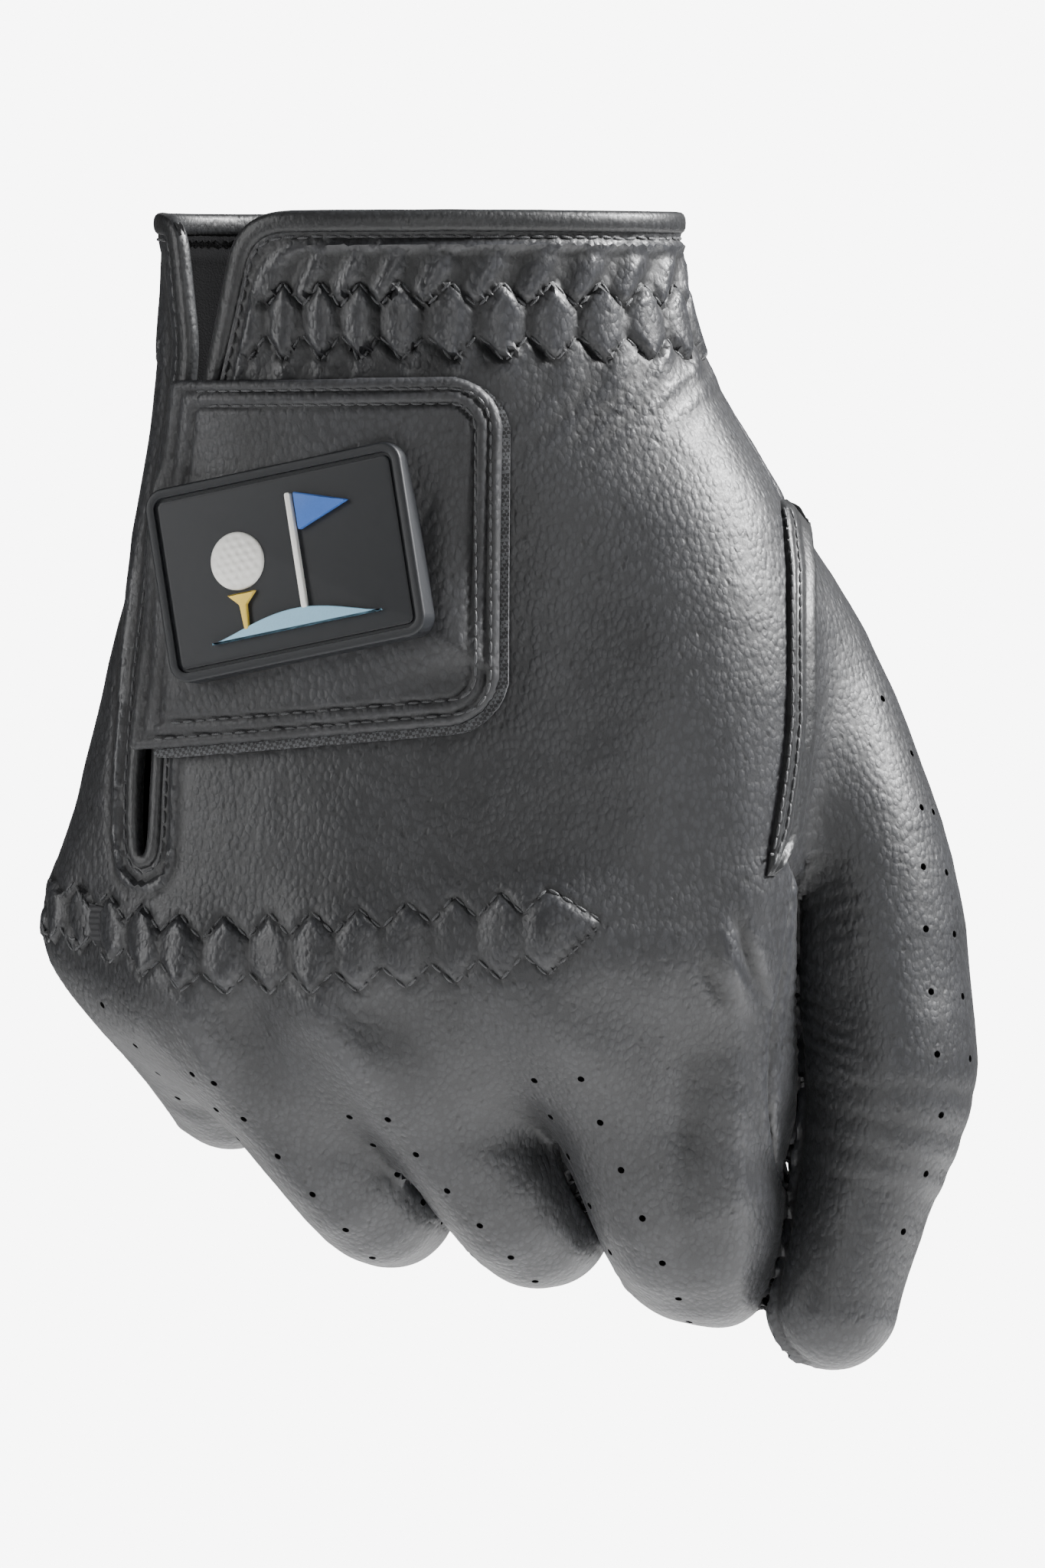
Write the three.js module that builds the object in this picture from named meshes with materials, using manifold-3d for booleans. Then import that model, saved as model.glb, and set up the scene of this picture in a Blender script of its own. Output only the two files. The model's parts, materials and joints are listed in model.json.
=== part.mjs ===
// Golf glove for a right hand, closed round a grip: leather panels, finger stalls with their gussets,
// bound edges, elastic tapes, and a hook-and-loop closure tab that carries a moulded badge.
// Millimetres. +Z runs up the wrist, the back of the hand faces -Y and the thumb is on the +X side.
import * as THREE from 'three';
import { mergeVertices } from 'three/addons/utils/BufferGeometryUtils.js';
import Module from 'manifold-3d';

const wasm = await Module();
wasm.setup();

// ---------------------------------------------------------------- driving dimensions
const leather = 1; // thickness of the leather, seam allowance included
const seamGap = 0.3; // clearance between pieces that are sewn edge to edge or lie on each other

const wristWidth = 67; // across the cuff
const wristDepth = 40; // back to palm at the cuff
const cuffTop = 73; // height of the cuff edge above the middle of the glove
const palmWidth = 95; // across the hand at the knuckles
const palmDepth = 32; // back to palm at the knuckles
const knuckleLevel = -18; // height of the knuckle row
const knuckleCap = 22; // how far the hand rounds off below the knuckle row
const wristTurn = 6; // degrees that the little-finger side turns away from the viewer at the cuff
const fistTurn = 21; // the same at the knuckles
const fingerScale = 1; // multiplies every finger length
const thumbLength = 130; // along the thumb, from its root to its tip

const bindingWidth = 2.8; // bound edge seen from outside
const bindingProud = 0.8; // how far a binding stands out from the leather
const tapeThickness = 0.7; // elastic tapes inside the glove

const slitWidth = 2; // the wrist opening where the tab spans it
const slitMouth = 9; // the same opening at the cuff edge
const ventWidth = 3.4; // rounded lower end of the wrist opening
const slitFoot = -10; // height of its lower end
const slitReach = 3; // how far behind the middle of the hand the opening may cut
const seamShift = 5; // the side seams lie this far behind the middle of the hand

const tabWidth = 41; // closure tab, from its hinge edge to its free end
const tabHeight = 46;
const tabTop = 51.6; // height of its upper edge at the hinge
const tabCorner = 7;
const tabLeather = 1.1;
const hookThickness = 0.7;
const loopThickness = 0.6;
const hookPeek = 1.2; // the hook pad shows this far beyond the free end of the tab

const badgeWidth = 33;
const badgeHeight = 25;
const badgeCorner = 2.6;
const badgeThickness = 2.2;
const badgeRimWidth = 1.3;
const badgeRelief = 0.8; // rim and emblem stand this far out of the badge face
const badgeTilt = 11; // degrees that the badge leans

const ringSides = 24; // facets round the hand
const limbSides = 12; // facets round a finger

// ---------------------------------------------------------------- helpers
const vec = (x, y, z) => new THREE.Vector3(x, y, z);
const radians = THREE.MathUtils.degToRad;
const mix = THREE.MathUtils.lerp;

const weld = 1e-3; // corners this close are one corner

function solid(geometry) {
  const bare = geometry.index ? geometry.toNonIndexed() : geometry.clone();
  bare.deleteAttribute('normal');
  bare.deleteAttribute('uv');
  const merged = mergeVertices(bare, weld);
  return new wasm.Manifold(
    new wasm.Mesh({
      numProp: 3,
      vertProperties: new Float32Array(merged.attributes.position.array),
      triVerts: new Uint32Array(merged.index.array),
    }),
  );
}

// A cut along a curved skin can leave slivers beside the piece: only bodies of a real size are kept.
const sliver = 1.5;
const clean = (made) => wasm.Manifold.compose(made.decompose().filter((part) => part.volume() > sliver));

function geometryOf(made) {
  const mesh = made.getMesh();
  const geometry = new THREE.BufferGeometry();
  geometry.setAttribute('position', new THREE.BufferAttribute(new Float32Array(mesh.vertProperties), 3));
  geometry.setIndex(new THREE.BufferAttribute(new Uint32Array(mesh.triVerts), 1));
  return geometry;
}

// Skin over a list of rings, each a list of points, closed by a fan at both ends.
function loft(rings) {
  const sides = rings[0].length;
  const points = rings.flat();
  const middle = (ring) => ring.reduce((sum, p) => sum.add(p), vec(0, 0, 0)).divideScalar(sides);
  points.push(middle(rings[0]), middle(rings.at(-1)));
  const index = [];
  for (let k = 0; k < sides; k++) {
    const next = (k + 1) % sides;
    for (let r = 0; r + 1 < rings.length; r++) {
      const [a, b] = [r * sides + k, r * sides + next];
      index.push(a, b, b + sides, a, b + sides, a + sides);
    }
    const last = (rings.length - 1) * sides;
    index.push(points.length - 2, next, k, points.length - 1, last + k, last + next);
  }
  const geometry = new THREE.BufferGeometry().setFromPoints(points);
  geometry.setIndex(index);
  const made = solid(geometry);
  if (made.volume() > 0) return made;
  const flipped = index.slice();
  for (let i = 0; i < flipped.length; i += 3) [flipped[i], flipped[i + 1]] = [flipped[i + 1], flipped[i]];
  geometry.setIndex(flipped);
  return solid(geometry);
}

const ellipse = (centre, u, v, a, b, sides) =>
  Array.from({ length: sides }, (_, k) => {
    const turn = (k / sides) * 2 * Math.PI;
    return centre.clone().addScaledVector(u, a * Math.cos(turn)).addScaledVector(v, b * Math.sin(turn));
  });

const flatShape = (points) => new THREE.Shape(points.map(([x, y]) => new THREE.Vector2(x, y)));

// A flat outline drawn as seen from the back of the hand (x across, z up), pushed through in depth.
function prism(outline, near = -70, far = 70) {
  const shape = outline instanceof THREE.Shape ? outline : flatShape(outline);
  const block = new THREE.ExtrudeGeometry(shape, { depth: far - near, bevelEnabled: false, curveSegments: 5 });
  return solid(block.rotateX(Math.PI / 2).translate(0, far, 0));
}

// Outline of a band of the given half width along a smooth line.
function bandOutline(line, half) {
  const curve = new THREE.CatmullRomCurve3(line.map(([x, z]) => vec(x, 0, z)));
  const [left, right] = [[], []];
  const steps = line.length * 3;
  for (let k = 0; k <= steps; k++) {
    const p = curve.getPoint(k / steps);
    const t = curve.getTangent(k / steps);
    left.push([p.x - t.z * half, p.z + t.x * half]);
    right.push([p.x + t.z * half, p.z - t.x * half]);
  }
  return left.concat(right.reverse());
}

// ---------------------------------------------------------------- the hand inside the glove
// Sections of the hand from the cuff to the knuckles, by the share of the way down.
const downTheHand = [
  // share, across centre, depth centre, share of the way from wrist width to palm width
  [0, -12.9, 2, 0],
  [0.22, -12.3, 2, 0.02],
  [0.37, -9.4, 1.5, 0.4],
  [0.54, -7.6, 1, 0.76],
  [0.72, -9.3, 0.5, 0.97],
  [0.88, -13, 0, 1],
  [1, -14.5, -0.5, 0.99],
];

function handSection(share) {
  const after = Math.max(1, downTheHand.findIndex(([s]) => s >= share));
  const [low, high] = [downTheHand[after - 1], downTheHand[after]];
  const t = (share - low[0]) / (high[0] - low[0]);
  const [x, y, widen] = [1, 2, 3].map((k) => mix(low[k], high[k], t));
  const turn = radians(mix(wristTurn, fistTurn, share));
  return {
    centre: vec(x, y, mix(cuffTop, knuckleLevel, share)),
    across: vec(Math.cos(turn), -Math.sin(turn), 0),
    through: vec(Math.sin(turn), Math.cos(turn), 0),
    halfWidth: mix(wristWidth, palmWidth, widen) / 2,
    halfDepth: mix(wristDepth, palmDepth, Math.min(1, share * 1.1)) / 2,
  };
}

function palmBlock(grow) {
  const rings = [];
  const ring = (s, rise, shrink) =>
    rings.push(
      ellipse(
        s.centre.clone().setZ(s.centre.z + rise),
        s.across,
        s.through,
        (s.halfWidth + grow) * shrink,
        (s.halfDepth + grow) * shrink,
        ringSides,
      ),
    );
  ring(handSection(0), 8, 1);
  for (const [share] of downTheHand) ring(handSection(share), 0, 1);
  const end = handSection(1);
  const cap = knuckleCap + grow;
  for (const share of [0.45, 0.75, 0.95]) ring(end, -cap * share, Math.sqrt(1 - share * share));
  return loft(rings);
}

// A finger or thumb: a round skin along a path that ends in a dome.
function limb({ points, radii, side, flatten = 1, steps = 8 }, grow) {
  const curve = new THREE.CatmullRomCurve3(points, false, 'centripetal');
  const length = curve.getLength();
  const tipRadius = radii.at(-1) + grow;
  const domeStart = length + grow - tipRadius;
  const stations = Array.from({ length: steps }, (_, k) => (domeStart * k) / (steps - 1));
  for (const share of [0.5, 0.8, 0.97]) stations.push(domeStart + tipRadius * share);
  const radiusAt = (s) => {
    const place = Math.min(0.9999, Math.max(0, s / length)) * (radii.length - 1);
    return mix(radii[Math.floor(place)], radii[Math.ceil(place)], place % 1) + grow;
  };
  const end = curve.getPointAt(1);
  const endWay = curve.getTangentAt(1);
  const rings = stations.map((s) => {
    const share = Math.min(1, Math.max(0, s / length));
    const centre = s <= length ? curve.getPointAt(share) : end.clone().addScaledVector(endWay, s - length);
    const way = curve.getTangentAt(share);
    const across = side.clone().addScaledVector(way, -side.dot(way)).normalize();
    const out = way.clone().cross(across);
    const dome = Math.max(0, (s - domeStart) / tipRadius);
    const radius = radiusAt(s) * Math.sqrt(1 - dome * dome);
    return ellipse(centre, across, out, radius, radius * flatten, limbSides);
  });
  return loft(rings);
}

// across: place in the knuckle row as a share of half the palm
// lift and drop: towards the back of the hand and down from that row
// way and back: directions of the first and second bones
// radii: half the width along the finger
const fingers = {
  index: {
    across: 0.5,
    lift: 0,
    drop: 4,
    way: [0.35, 0.22, -0.91],
    back: [-0.1, 0.84, 0.5],
    bones: [43.5, 35, 21],
    radii: [11.2, 11, 10.6, 9.4, 8.8],
  },
  middle: {
    across: -0.15,
    lift: 5.5,
    drop: 7,
    way: [0.58, 0.24, -0.78],
    back: [-0.18, 0.84, 0.5],
    bones: [43.5, 35, 22],
    radii: [10, 9.8, 9.2, 8.8, 8.4],
  },
  ring: {
    across: -0.58,
    lift: 4.5,
    drop: 7,
    way: [0.6, 0.2, -0.77],
    back: [-0.2, 0.84, 0.5],
    bones: [41, 33, 20],
    radii: [9.6, 9.4, 9, 8.6, 8.2],
  },
  little: {
    across: -0.83,
    lift: -2.5,
    drop: 0,
    way: [0.5, 0.34, -0.79],
    back: [-0.38, 0.8, 0.5],
    bones: [31.5, 27, 17],
    radii: [8.8, 8.6, 8.2, 7.8, 7.4],
  },
};
const fingerBend = 13; // the path leaves the straight this far before each joint
const fingerDepth = 1.1; // fingers are this much deeper than they are wide
const tipWay = vec(-0.35, -0.1, 0.93).normalize(); // fingertips turn up towards the palm

// A path through corners, each rounded off over the given reach.
function roundedPath(corners, reach) {
  const points = [corners[0]];
  for (let k = 1; k < corners.length - 1; k++) {
    const [before, corner, after] = corners.slice(k - 1, k + 2);
    const from = corner.clone().add(before.clone().sub(corner).setLength(reach));
    const to = corner.clone().add(after.clone().sub(corner).setLength(reach));
    points.push(...new THREE.QuadraticBezierCurve3(from, corner, to).getPoints(3));
  }
  return [...points, corners.at(-1)];
}

function fingerPath({ across, lift, drop, way, back, bones, radii }) {
  const row = handSection(1);
  const root = row.centre
    .clone()
    .addScaledVector(row.across, across * row.halfWidth)
    .add(vec(0, -lift, -drop));
  const first = vec(...way).normalize();
  const backWay = vec(...back).normalize();
  const [one, two, three] = bones.map((b) => b * fingerScale);
  const knee = root.clone().addScaledVector(first, one);
  const bend = knee.clone().addScaledVector(backWay, two);
  const points = roundedPath([root, knee, bend, bend.clone().addScaledVector(tipWay, three)], fingerBend);
  const side = first.clone().cross(backWay).normalize();
  return { points, radii, side, flatten: fingerDepth };
}

const fingerPaths = Object.fromEntries(Object.entries(fingers).map(([name, f]) => [name, fingerPath(f)]));

// The muscle between the first knuckle and the thumb.
const indexRoot = fingerPaths.index.points[0];
const webLine = [
  [12, 4, 30],
  [13, 2, 12],
  [15.5, 2, -12],
  [16.5, 5, -34],
  [15.5, 10, -50],
];
const webPath = {
  points: webLine.map(([x, y, z]) => vec(indexRoot.x + x, indexRoot.y + y, z)),
  radii: [9, 11, 10.5, 9, 7],
  side: vec(1, 0, 0),
  steps: 6,
};

const thumbRoot = vec(12, 4, 50);
const thumbLine = [
  [0, 0, 0],
  [14.5, 1.5, -19],
  [26.2, 2, -37],
  [31.8, 0, -58],
  [33.9, -1, -75],
  [34.6, -2, -88],
  [31, -2, -102],
  [28, -2, -114],
  [27, -2, -124.4],
];
const thumbLineLength = 130; // length of the line above
const thumbPath = {
  points: thumbLine.map((p) => thumbRoot.clone().addScaledVector(vec(...p), thumbLength / thumbLineLength)),
  radii: [12, 12, 11.6, 11.3, 11.8, 12.4, 12, 9.6, 8.4],
  side: vec(0.94, 0.34, 0),
  flatten: 1.12,
  steps: 10,
};

const kept = new Map();
function remember(key, make) {
  if (!kept.has(key)) kept.set(key, make());
  return kept.get(key);
}
const finger = (name, grow) => remember(`${name}${grow}`, () => limb(fingerPaths[name], grow));
const palm = (grow) => remember(`palm${grow}`, () => palmBlock(grow).add(limb(webPath, grow)));
const thumb = (grow) => remember(`thumb${grow}`, () => limb(thumbPath, grow));
const hand = (grow) =>
  remember(`hand${grow}`, () =>
    Object.keys(fingers).reduce((sum, name) => sum.add(finger(name, grow)), palm(grow)),
  );

// ---------------------------------------------------------------- dividing surfaces
function block(x0, x1, y0, y1, z0, z1) {
  const box = new THREE.BoxGeometry(x1 - x0, y1 - y0, z1 - z0);
  return solid(box.translate((x0 + x1) / 2, (y0 + y1) / 2, (z0 + z1) / 2));
}

// Everything on the back side of the side seams of the hand, moved out by shift.
function backSide(shift) {
  const reach = palmWidth;
  const along = Array.from({ length: 17 }, (_, k) => [reach * (1 - k / 8), shift]);
  const corners = (s, z) =>
    [[-reach, -reach], [reach, -reach], ...along].map(([a, b]) =>
      s.centre.clone().addScaledVector(s.across, a).addScaledVector(s.through, b).setZ(z),
    );
  const rings = [corners(handSection(0), cuffTop + 20)];
  for (const [share] of downTheHand) rings.push(corners(handSection(share), mix(cuffTop, knuckleLevel, share)));
  rings.push(corners(handSection(1), knuckleLevel - knuckleCap - 20));
  return loft(rings);
}

// A square-sided bar that follows a limb, from across[0] to across[1] sideways
// and from out[0] to out[1] towards the limb's back.
function limbBar({ points, side }, across, out, past, stretch = 0) {
  const curve = new THREE.CatmullRomCurve3(points, false, 'centripetal');
  const length = curve.getLength();
  const evenly = Array.from({ length: 12 }, (_, k) => -6 + ((length + 6) * k) / 11);
  const stations = evenly.filter((s) => s < length + past - 1);
  const rings = [...stations, length + past + stretch].map((s) => {
    const share = Math.min(1, Math.max(0, s / length));
    const way = curve.getTangentAt(share);
    const centre = curve.getPointAt(share).addScaledVector(way, s - share * length);
    const over = side.clone().addScaledVector(way, -side.dot(way)).normalize();
    const up = way.clone().cross(over);
    return [[0, 0], [1, 0], [1, 1], [0, 1]].map(([a, b]) =>
      centre.clone().addScaledVector(over, across[a]).addScaledVector(up, out[b]),
    );
  });
  return loft(rings);
}

// ---------------------------------------------------------------- the wrist opening
const slitLine = [
  // height, place of its middle, half width
  [cuffTop + 6, -38.6, slitMouth / 2],
  [62, -39.4, slitMouth * 0.32],
  [tabTop + 1, -41.2, slitWidth / 2],
  [32, -44.6, slitWidth / 2],
  [14, -47.2, slitWidth / 2],
  [1, -48, ventWidth / 2],
  [slitFoot + 2.5, -48.6, ventWidth / 2],
  [slitFoot, -48.8, 0.5],
];
const slitAcross = (z) => {
  const k = Math.max(1, slitLine.findIndex(([height]) => height <= z));
  const [high, low] = [slitLine[k - 1], slitLine[k]];
  return mix(low[1], high[1], (z - low[0]) / (high[0] - low[0]));
};
const slitOutline = (grow) => {
  const right = slitLine.map(([z, x, half]) => [x + half + grow, z]);
  const left = slitLine.map(([z, x, half]) => [x - half - grow, z]).reverse();
  return [...right, [slitLine.at(-1)[1], slitFoot - grow], ...left];
};
const slitHole = (grow) => prism(slitOutline(grow)).intersect(backSide(slitReach)); // through the back only

const group = new THREE.Group();
const finish = {
  leather: [0x3a3b3e, 0.6],
  binding: [0x303134, 0.55],
  elastic: [0x202022, 0.95],
  hook: [0x2a2a2c, 0.95],
  rubber: [0x2b2d33, 0.75],
  white: [0xe6e2dc, 0.6],
  blue: [0x2f4fa8, 0.6],
  sky: [0x8cc0e6, 0.6],
  yellow: [0xe8d23a, 0.6],
};

function place(name, made, [color, roughness]) {
  const geometry = geometryOf(clean(solid(geometryOf(clean(made)))));
  geometry.computeVertexNormals();
  const piece = new THREE.Mesh(geometry, new THREE.MeshStandardMaterial({ color, roughness }));
  piece.name = name;
  group.add(piece);
}

// ---------------------------------------------------------------- leather panels of the hand
const cuffLeather = cuffTop - bindingWidth - seamGap; // the panels end under the binding
const belowCuff = block(-90, 90, -90, 90, -150, cuffLeather);
const stallHoles = Object.keys(fingers).reduce((sum, name) => sum.add(finger(name, -leather)), thumb(seamGap));
const handSkin = palm(0).subtract(palm(-leather)).intersect(belowCuff).subtract(stallHoles);

const backSkin = handSkin.intersect(backSide(seamShift - seamGap / 2));
place('back_panel', backSkin.subtract(slitHole(bindingWidth + seamGap)), finish.leather);
place('palm_panel', handSkin.subtract(backSide(seamShift + seamGap / 2)), finish.leather);

// ---------------------------------------------------------------- finger stalls
const gussetWidth = 7; // strip between the back and palm leathers of neighbouring fingers
const order = Object.keys(fingers);
for (const [k, name] of order.entries()) {
  const path = fingerPaths[name];
  let skin = finger(name, 0).subtract(finger(name, -leather)).subtract(palm(seamGap)).subtract(thumb(seamGap));
  for (const other of order.slice(0, k)) skin = skin.subtract(finger(other, seamGap));
  const gussets = [];
  if (k > 0) gussets.push([`gusset_${name}_outer`, [0.5, 30]]);
  if (k < order.length - 1) gussets.push([`gusset_${name}_inner`, [-30, -0.5]]);
  let rest = skin;
  for (const [gussetName, across] of gussets) {
    const half = gussetWidth / 2;
    place(gussetName, skin.intersect(limbBar(path, across, [-half, half], -14)), finish.leather);
    const wider = across.map((a) => a - Math.sign(a) * (Math.abs(a) < 1 ? seamGap : 0));
    rest = rest.subtract(limbBar(path, wider, [-half - seamGap, half + seamGap], -14, seamGap));
  }
  const width = [-30, 30];
  place(`${name}_back`, rest.intersect(limbBar(path, width, [seamGap / 2, 30], 14)), finish.leather);
  place(`${name}_palm`, rest.subtract(limbBar(path, width, [-seamGap / 2, 30], 14)), finish.leather);
}

// ---------------------------------------------------------------- thumb
const thumbSkin = thumb(0).subtract(thumb(-leather)).subtract(hand(seamGap)).subtract(palm(seamGap));
const thumbWidth = [-40, 40];
place('thumb_back', thumbSkin.intersect(limbBar(thumbPath, thumbWidth, [seamGap / 2, 40], 14)), finish.leather);
place('thumb_palm', thumbSkin.subtract(limbBar(thumbPath, thumbWidth, [-seamGap / 2, 40], 14)), finish.leather);

// ---------------------------------------------------------------- bound edges
const insideWall = -leather - bindingProud;
const boundLayer = palm(bindingProud).subtract(palm(insideWall));
const cuffRing = boundLayer.intersect(block(-90, 90, -90, 90, cuffTop - bindingWidth, cuffTop + bindingProud));
place('cuff_binding', cuffRing.subtract(slitHole(bindingWidth + seamGap)), finish.binding);
const slitTrim = boundLayer.intersect(slitHole(bindingWidth)).subtract(slitHole(0));
const belowCuffEdge = block(-90, 90, -90, 90, -90, cuffTop + bindingProud);
place('wrist_opening_binding', slitTrim.intersect(belowCuffEdge), finish.binding);

// ---------------------------------------------------------------- elastic tapes sewn inside
const tapeOutside = -leather - seamGap;
const tapeLayer = palm(tapeOutside).subtract(palm(tapeOutside - tapeThickness));
const tapeHeight = 5;
const cuffTape = (height) =>
  tapeLayer
    .intersect(block(-90, 90, -90, 90, height - tapeHeight / 2, height + tapeHeight / 2))
    .intersect(backSide(-2))
    .subtract(slitHole(bindingWidth + seamGap))
    .intersect(block(slitAcross(height) + slitMouth / 2, 90, -90, 90, -90, 90));
place('cuff_elastic_upper', cuffTape(63.5), finish.elastic);
place('cuff_elastic_lower', cuffTape(56), finish.elastic);
const knuckleLine = [
  [-53, -17.5],
  [-36, -21],
  [-14, -21.5],
  [9, -17],
];
const knuckleBand = bandOutline(knuckleLine, 3.2);
place('knuckle_elastic', tapeLayer.intersect(prism(knuckleBand)).intersect(backSide(0)), finish.elastic);

// ---------------------------------------------------------------- closure tab
const hingeGap = seamGap + 0.1;
const tabBottom = tabTop - tabHeight;
const tabLeft = (z) => slitAcross(z) - slitWidth / 2 + hingeGap;
function tabShape(grow) {
  // grow widens the free end and both long edges; the hinge edge stays
  const [top, bottom] = [tabTop + grow, tabBottom + 2.5 - grow];
  const right = tabLeft(tabTop) + tabWidth + grow;
  const corner = tabCorner + grow;
  const shape = new THREE.Shape();
  shape.moveTo(tabLeft(top), top);
  shape.lineTo(tabLeft(tabBottom), tabBottom - grow);
  shape.lineTo(right - corner, bottom);
  shape.quadraticCurveTo(right, bottom, right, bottom + corner);
  shape.lineTo(right, top - corner);
  shape.quadraticCurveTo(right, top, right - corner, top);
  shape.closePath();
  return shape;
}
const overSurface = (low, high, shape) =>
  palm(high).subtract(palm(low)).intersect(prism(shape)).intersect(backSide(0));
const loopLow = bindingProud + seamGap;
const loopLevel = [seamGap, seamGap + loopThickness];
const hookLevel = [loopLow, loopLow + hookThickness];
const tabLevel = [hookLevel[1] + seamGap, hookLevel[1] + seamGap + tabLeather];

const patch = (x0, x1, z0, z1, round) => {
  const shape = new THREE.Shape();
  shape.moveTo(x0 + round, z0);
  shape.lineTo(x1 - round, z0).quadraticCurveTo(x1, z0, x1, z0 + round);
  shape.lineTo(x1, z1 - round).quadraticCurveTo(x1, z1, x1 - round, z1);
  shape.lineTo(x0 + round, z1).quadraticCurveTo(x0, z1, x0, z1 - round);
  shape.lineTo(x0, z0 + round).quadraticCurveTo(x0, z0, x0 + round, z0);
  return shape;
};
const tabRight = tabLeft(tabTop) + tabWidth;
const padLeft = slitAcross(tabTop) + slitWidth / 2 + bindingWidth + 3;
const loopShape = patch(padLeft - 2, tabRight - 2, tabBottom + 4, tabTop - 3, 5);
place('loop_patch', overSurface(...loopLevel, loopShape), finish.hook);
const hookEdge = patch(padLeft, tabRight + hookPeek, tabBottom + 2.5 - hookPeek, tabTop - 2, tabCorner);
place('hook_pad', overSurface(...hookLevel, hookEdge), finish.hook);
place('closure_tab', overSurface(...tabLevel, tabShape(0)), finish.leather);

// ---------------------------------------------------------------- badge on the tab
const badgeLean = radians(badgeTilt);
const badgeTurn = radians(24); // the badge faces this far towards the little finger
const badgeTip = radians(3); // and this far upwards
const badgeFrame = new THREE.Matrix4()
  .makeRotationZ(-badgeTurn)
  .multiply(new THREE.Matrix4().makeRotationX(Math.PI / 2 - badgeTip))
  .multiply(new THREE.Matrix4().makeRotationZ(badgeLean));
const badgeMiddle = [tabLeft(28) + 16, 28.6]; // across and height of its centre
// Depth of the outside of the glove, grown by grow, at a place seen from the back of the hand.
function surfaceDepth(x, z, grow) {
  const probe = prism(patch(x - 0.5, x + 0.5, z - 0.5, z + 0.5, 0.1));
  return palm(grow).intersect(probe).boundingBox().min[1];
}
const tabClearance = tabLevel[1] + seamGap;
const badgeDepth = surfaceDepth(...badgeMiddle, tabClearance + badgeThickness - badgeRelief);
const badgeCentre = vec(badgeMiddle[0], badgeDepth, badgeMiddle[1]);
const badgePlace = badgeFrame.clone().setPosition(badgeCentre);
// A flat outline in the badge's own plane, from low to high above its face.
function onBadge(shape, low, high) {
  const body = new THREE.ExtrudeGeometry(shape, { depth: high - low, bevelEnabled: false, curveSegments: 6 });
  return solid(body.translate(0, 0, low).applyMatrix4(badgePlace));
}
const rounded = (w, h, r) => patch(-w / 2, w / 2, -h / 2, h / 2, r);
const badgeSide = badgeWidth / Math.cos(badgeTurn);
const tabSurface = palm(tabClearance);
const badgeBody = onBadge(rounded(badgeSide, badgeHeight, badgeCorner), -6, badgeRelief);
const badgeFace = onBadge(
  rounded(badgeSide - 2 * badgeRimWidth, badgeHeight - 2 * badgeRimWidth, badgeCorner - 0.6),
  0,
  badgeRelief + 1,
);
place('badge', badgeBody.subtract(badgeFace).subtract(tabSurface), finish.rubber);

const inlay = (name, shape, colour) => place(name, onBadge(shape, seamGap, badgeRelief), colour);
const circle = (x, y, r) => new THREE.Shape().absarc(x, y, r, 0, 2 * Math.PI);
const pennant = [
  [2.8, 8.6],
  [10.2, 6.2],
  [2.8, 3.6],
];
const tee = [
  [-8.4, -2.7],
  [-4.4, -2.7],
  [-5.9, -4.2],
  [-6.1, -7.4],
  [-6.7, -7.4],
  [-6.9, -4.2],
];
const mound = new THREE.Shape().moveTo(-11.5, -8.4);
mound.lineTo(12.5, -8.4);
mound.quadraticCurveTo(8, -5.2, 2, -6.6);
mound.quadraticCurveTo(-5, -8.2, -11.5, -8.4);
inlay('emblem_pole', patch(1.6, 2.4, -6.2, 8.6, 0.1), finish.white);
inlay('emblem_flag', flatShape(pennant), finish.blue);
inlay('emblem_green', mound, finish.sky);
inlay('emblem_ball', circle(-6.4, 1.4, 3.7), finish.white);
inlay('emblem_tee', flatShape(tee), finish.yellow);

// ---------------------------------------------------------------- strap over the thumb seam
const strapLine = [
  [32.2, 36],
  [33.6, 28],
  [34.2, 18],
  [33.6, 8],
  [31.6, -1],
  [29.6, -9],
];
const strapThickness = 0.9;
const strapLayer = palm(seamGap + strapThickness).subtract(palm(seamGap));
const strap = strapLayer.intersect(prism(bandOutline(strapLine, 1.7), -70, 4));
place('thumb_seam_strap', strap.subtract(thumb(seamGap)), finish.leather);

// The frame's origin is the middle of the whole glove.
const box = new THREE.Box3().setFromObject(group);
group.position.copy(box.getCenter(vec(0, 0, 0)).negate());

export default group;
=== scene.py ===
# %% [markdown]
# # A closed golf glove
# The object is a right-hand leather glove that keeps the shape of a hand closed round a club.
# This notebook builds its looks in Blender around a fixed mechanical model: the glove, and a
# closure tab that peels open. The leather is one continuous skin that is scored along its seams
# and taken apart into panels, because that is also how the real panels meet.

# %% Load the frame
import json
import math
import bmesh
import bpy
import numpy as np
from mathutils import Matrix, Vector, noise
from mathutils.bvhtree import BVHTree

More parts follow.
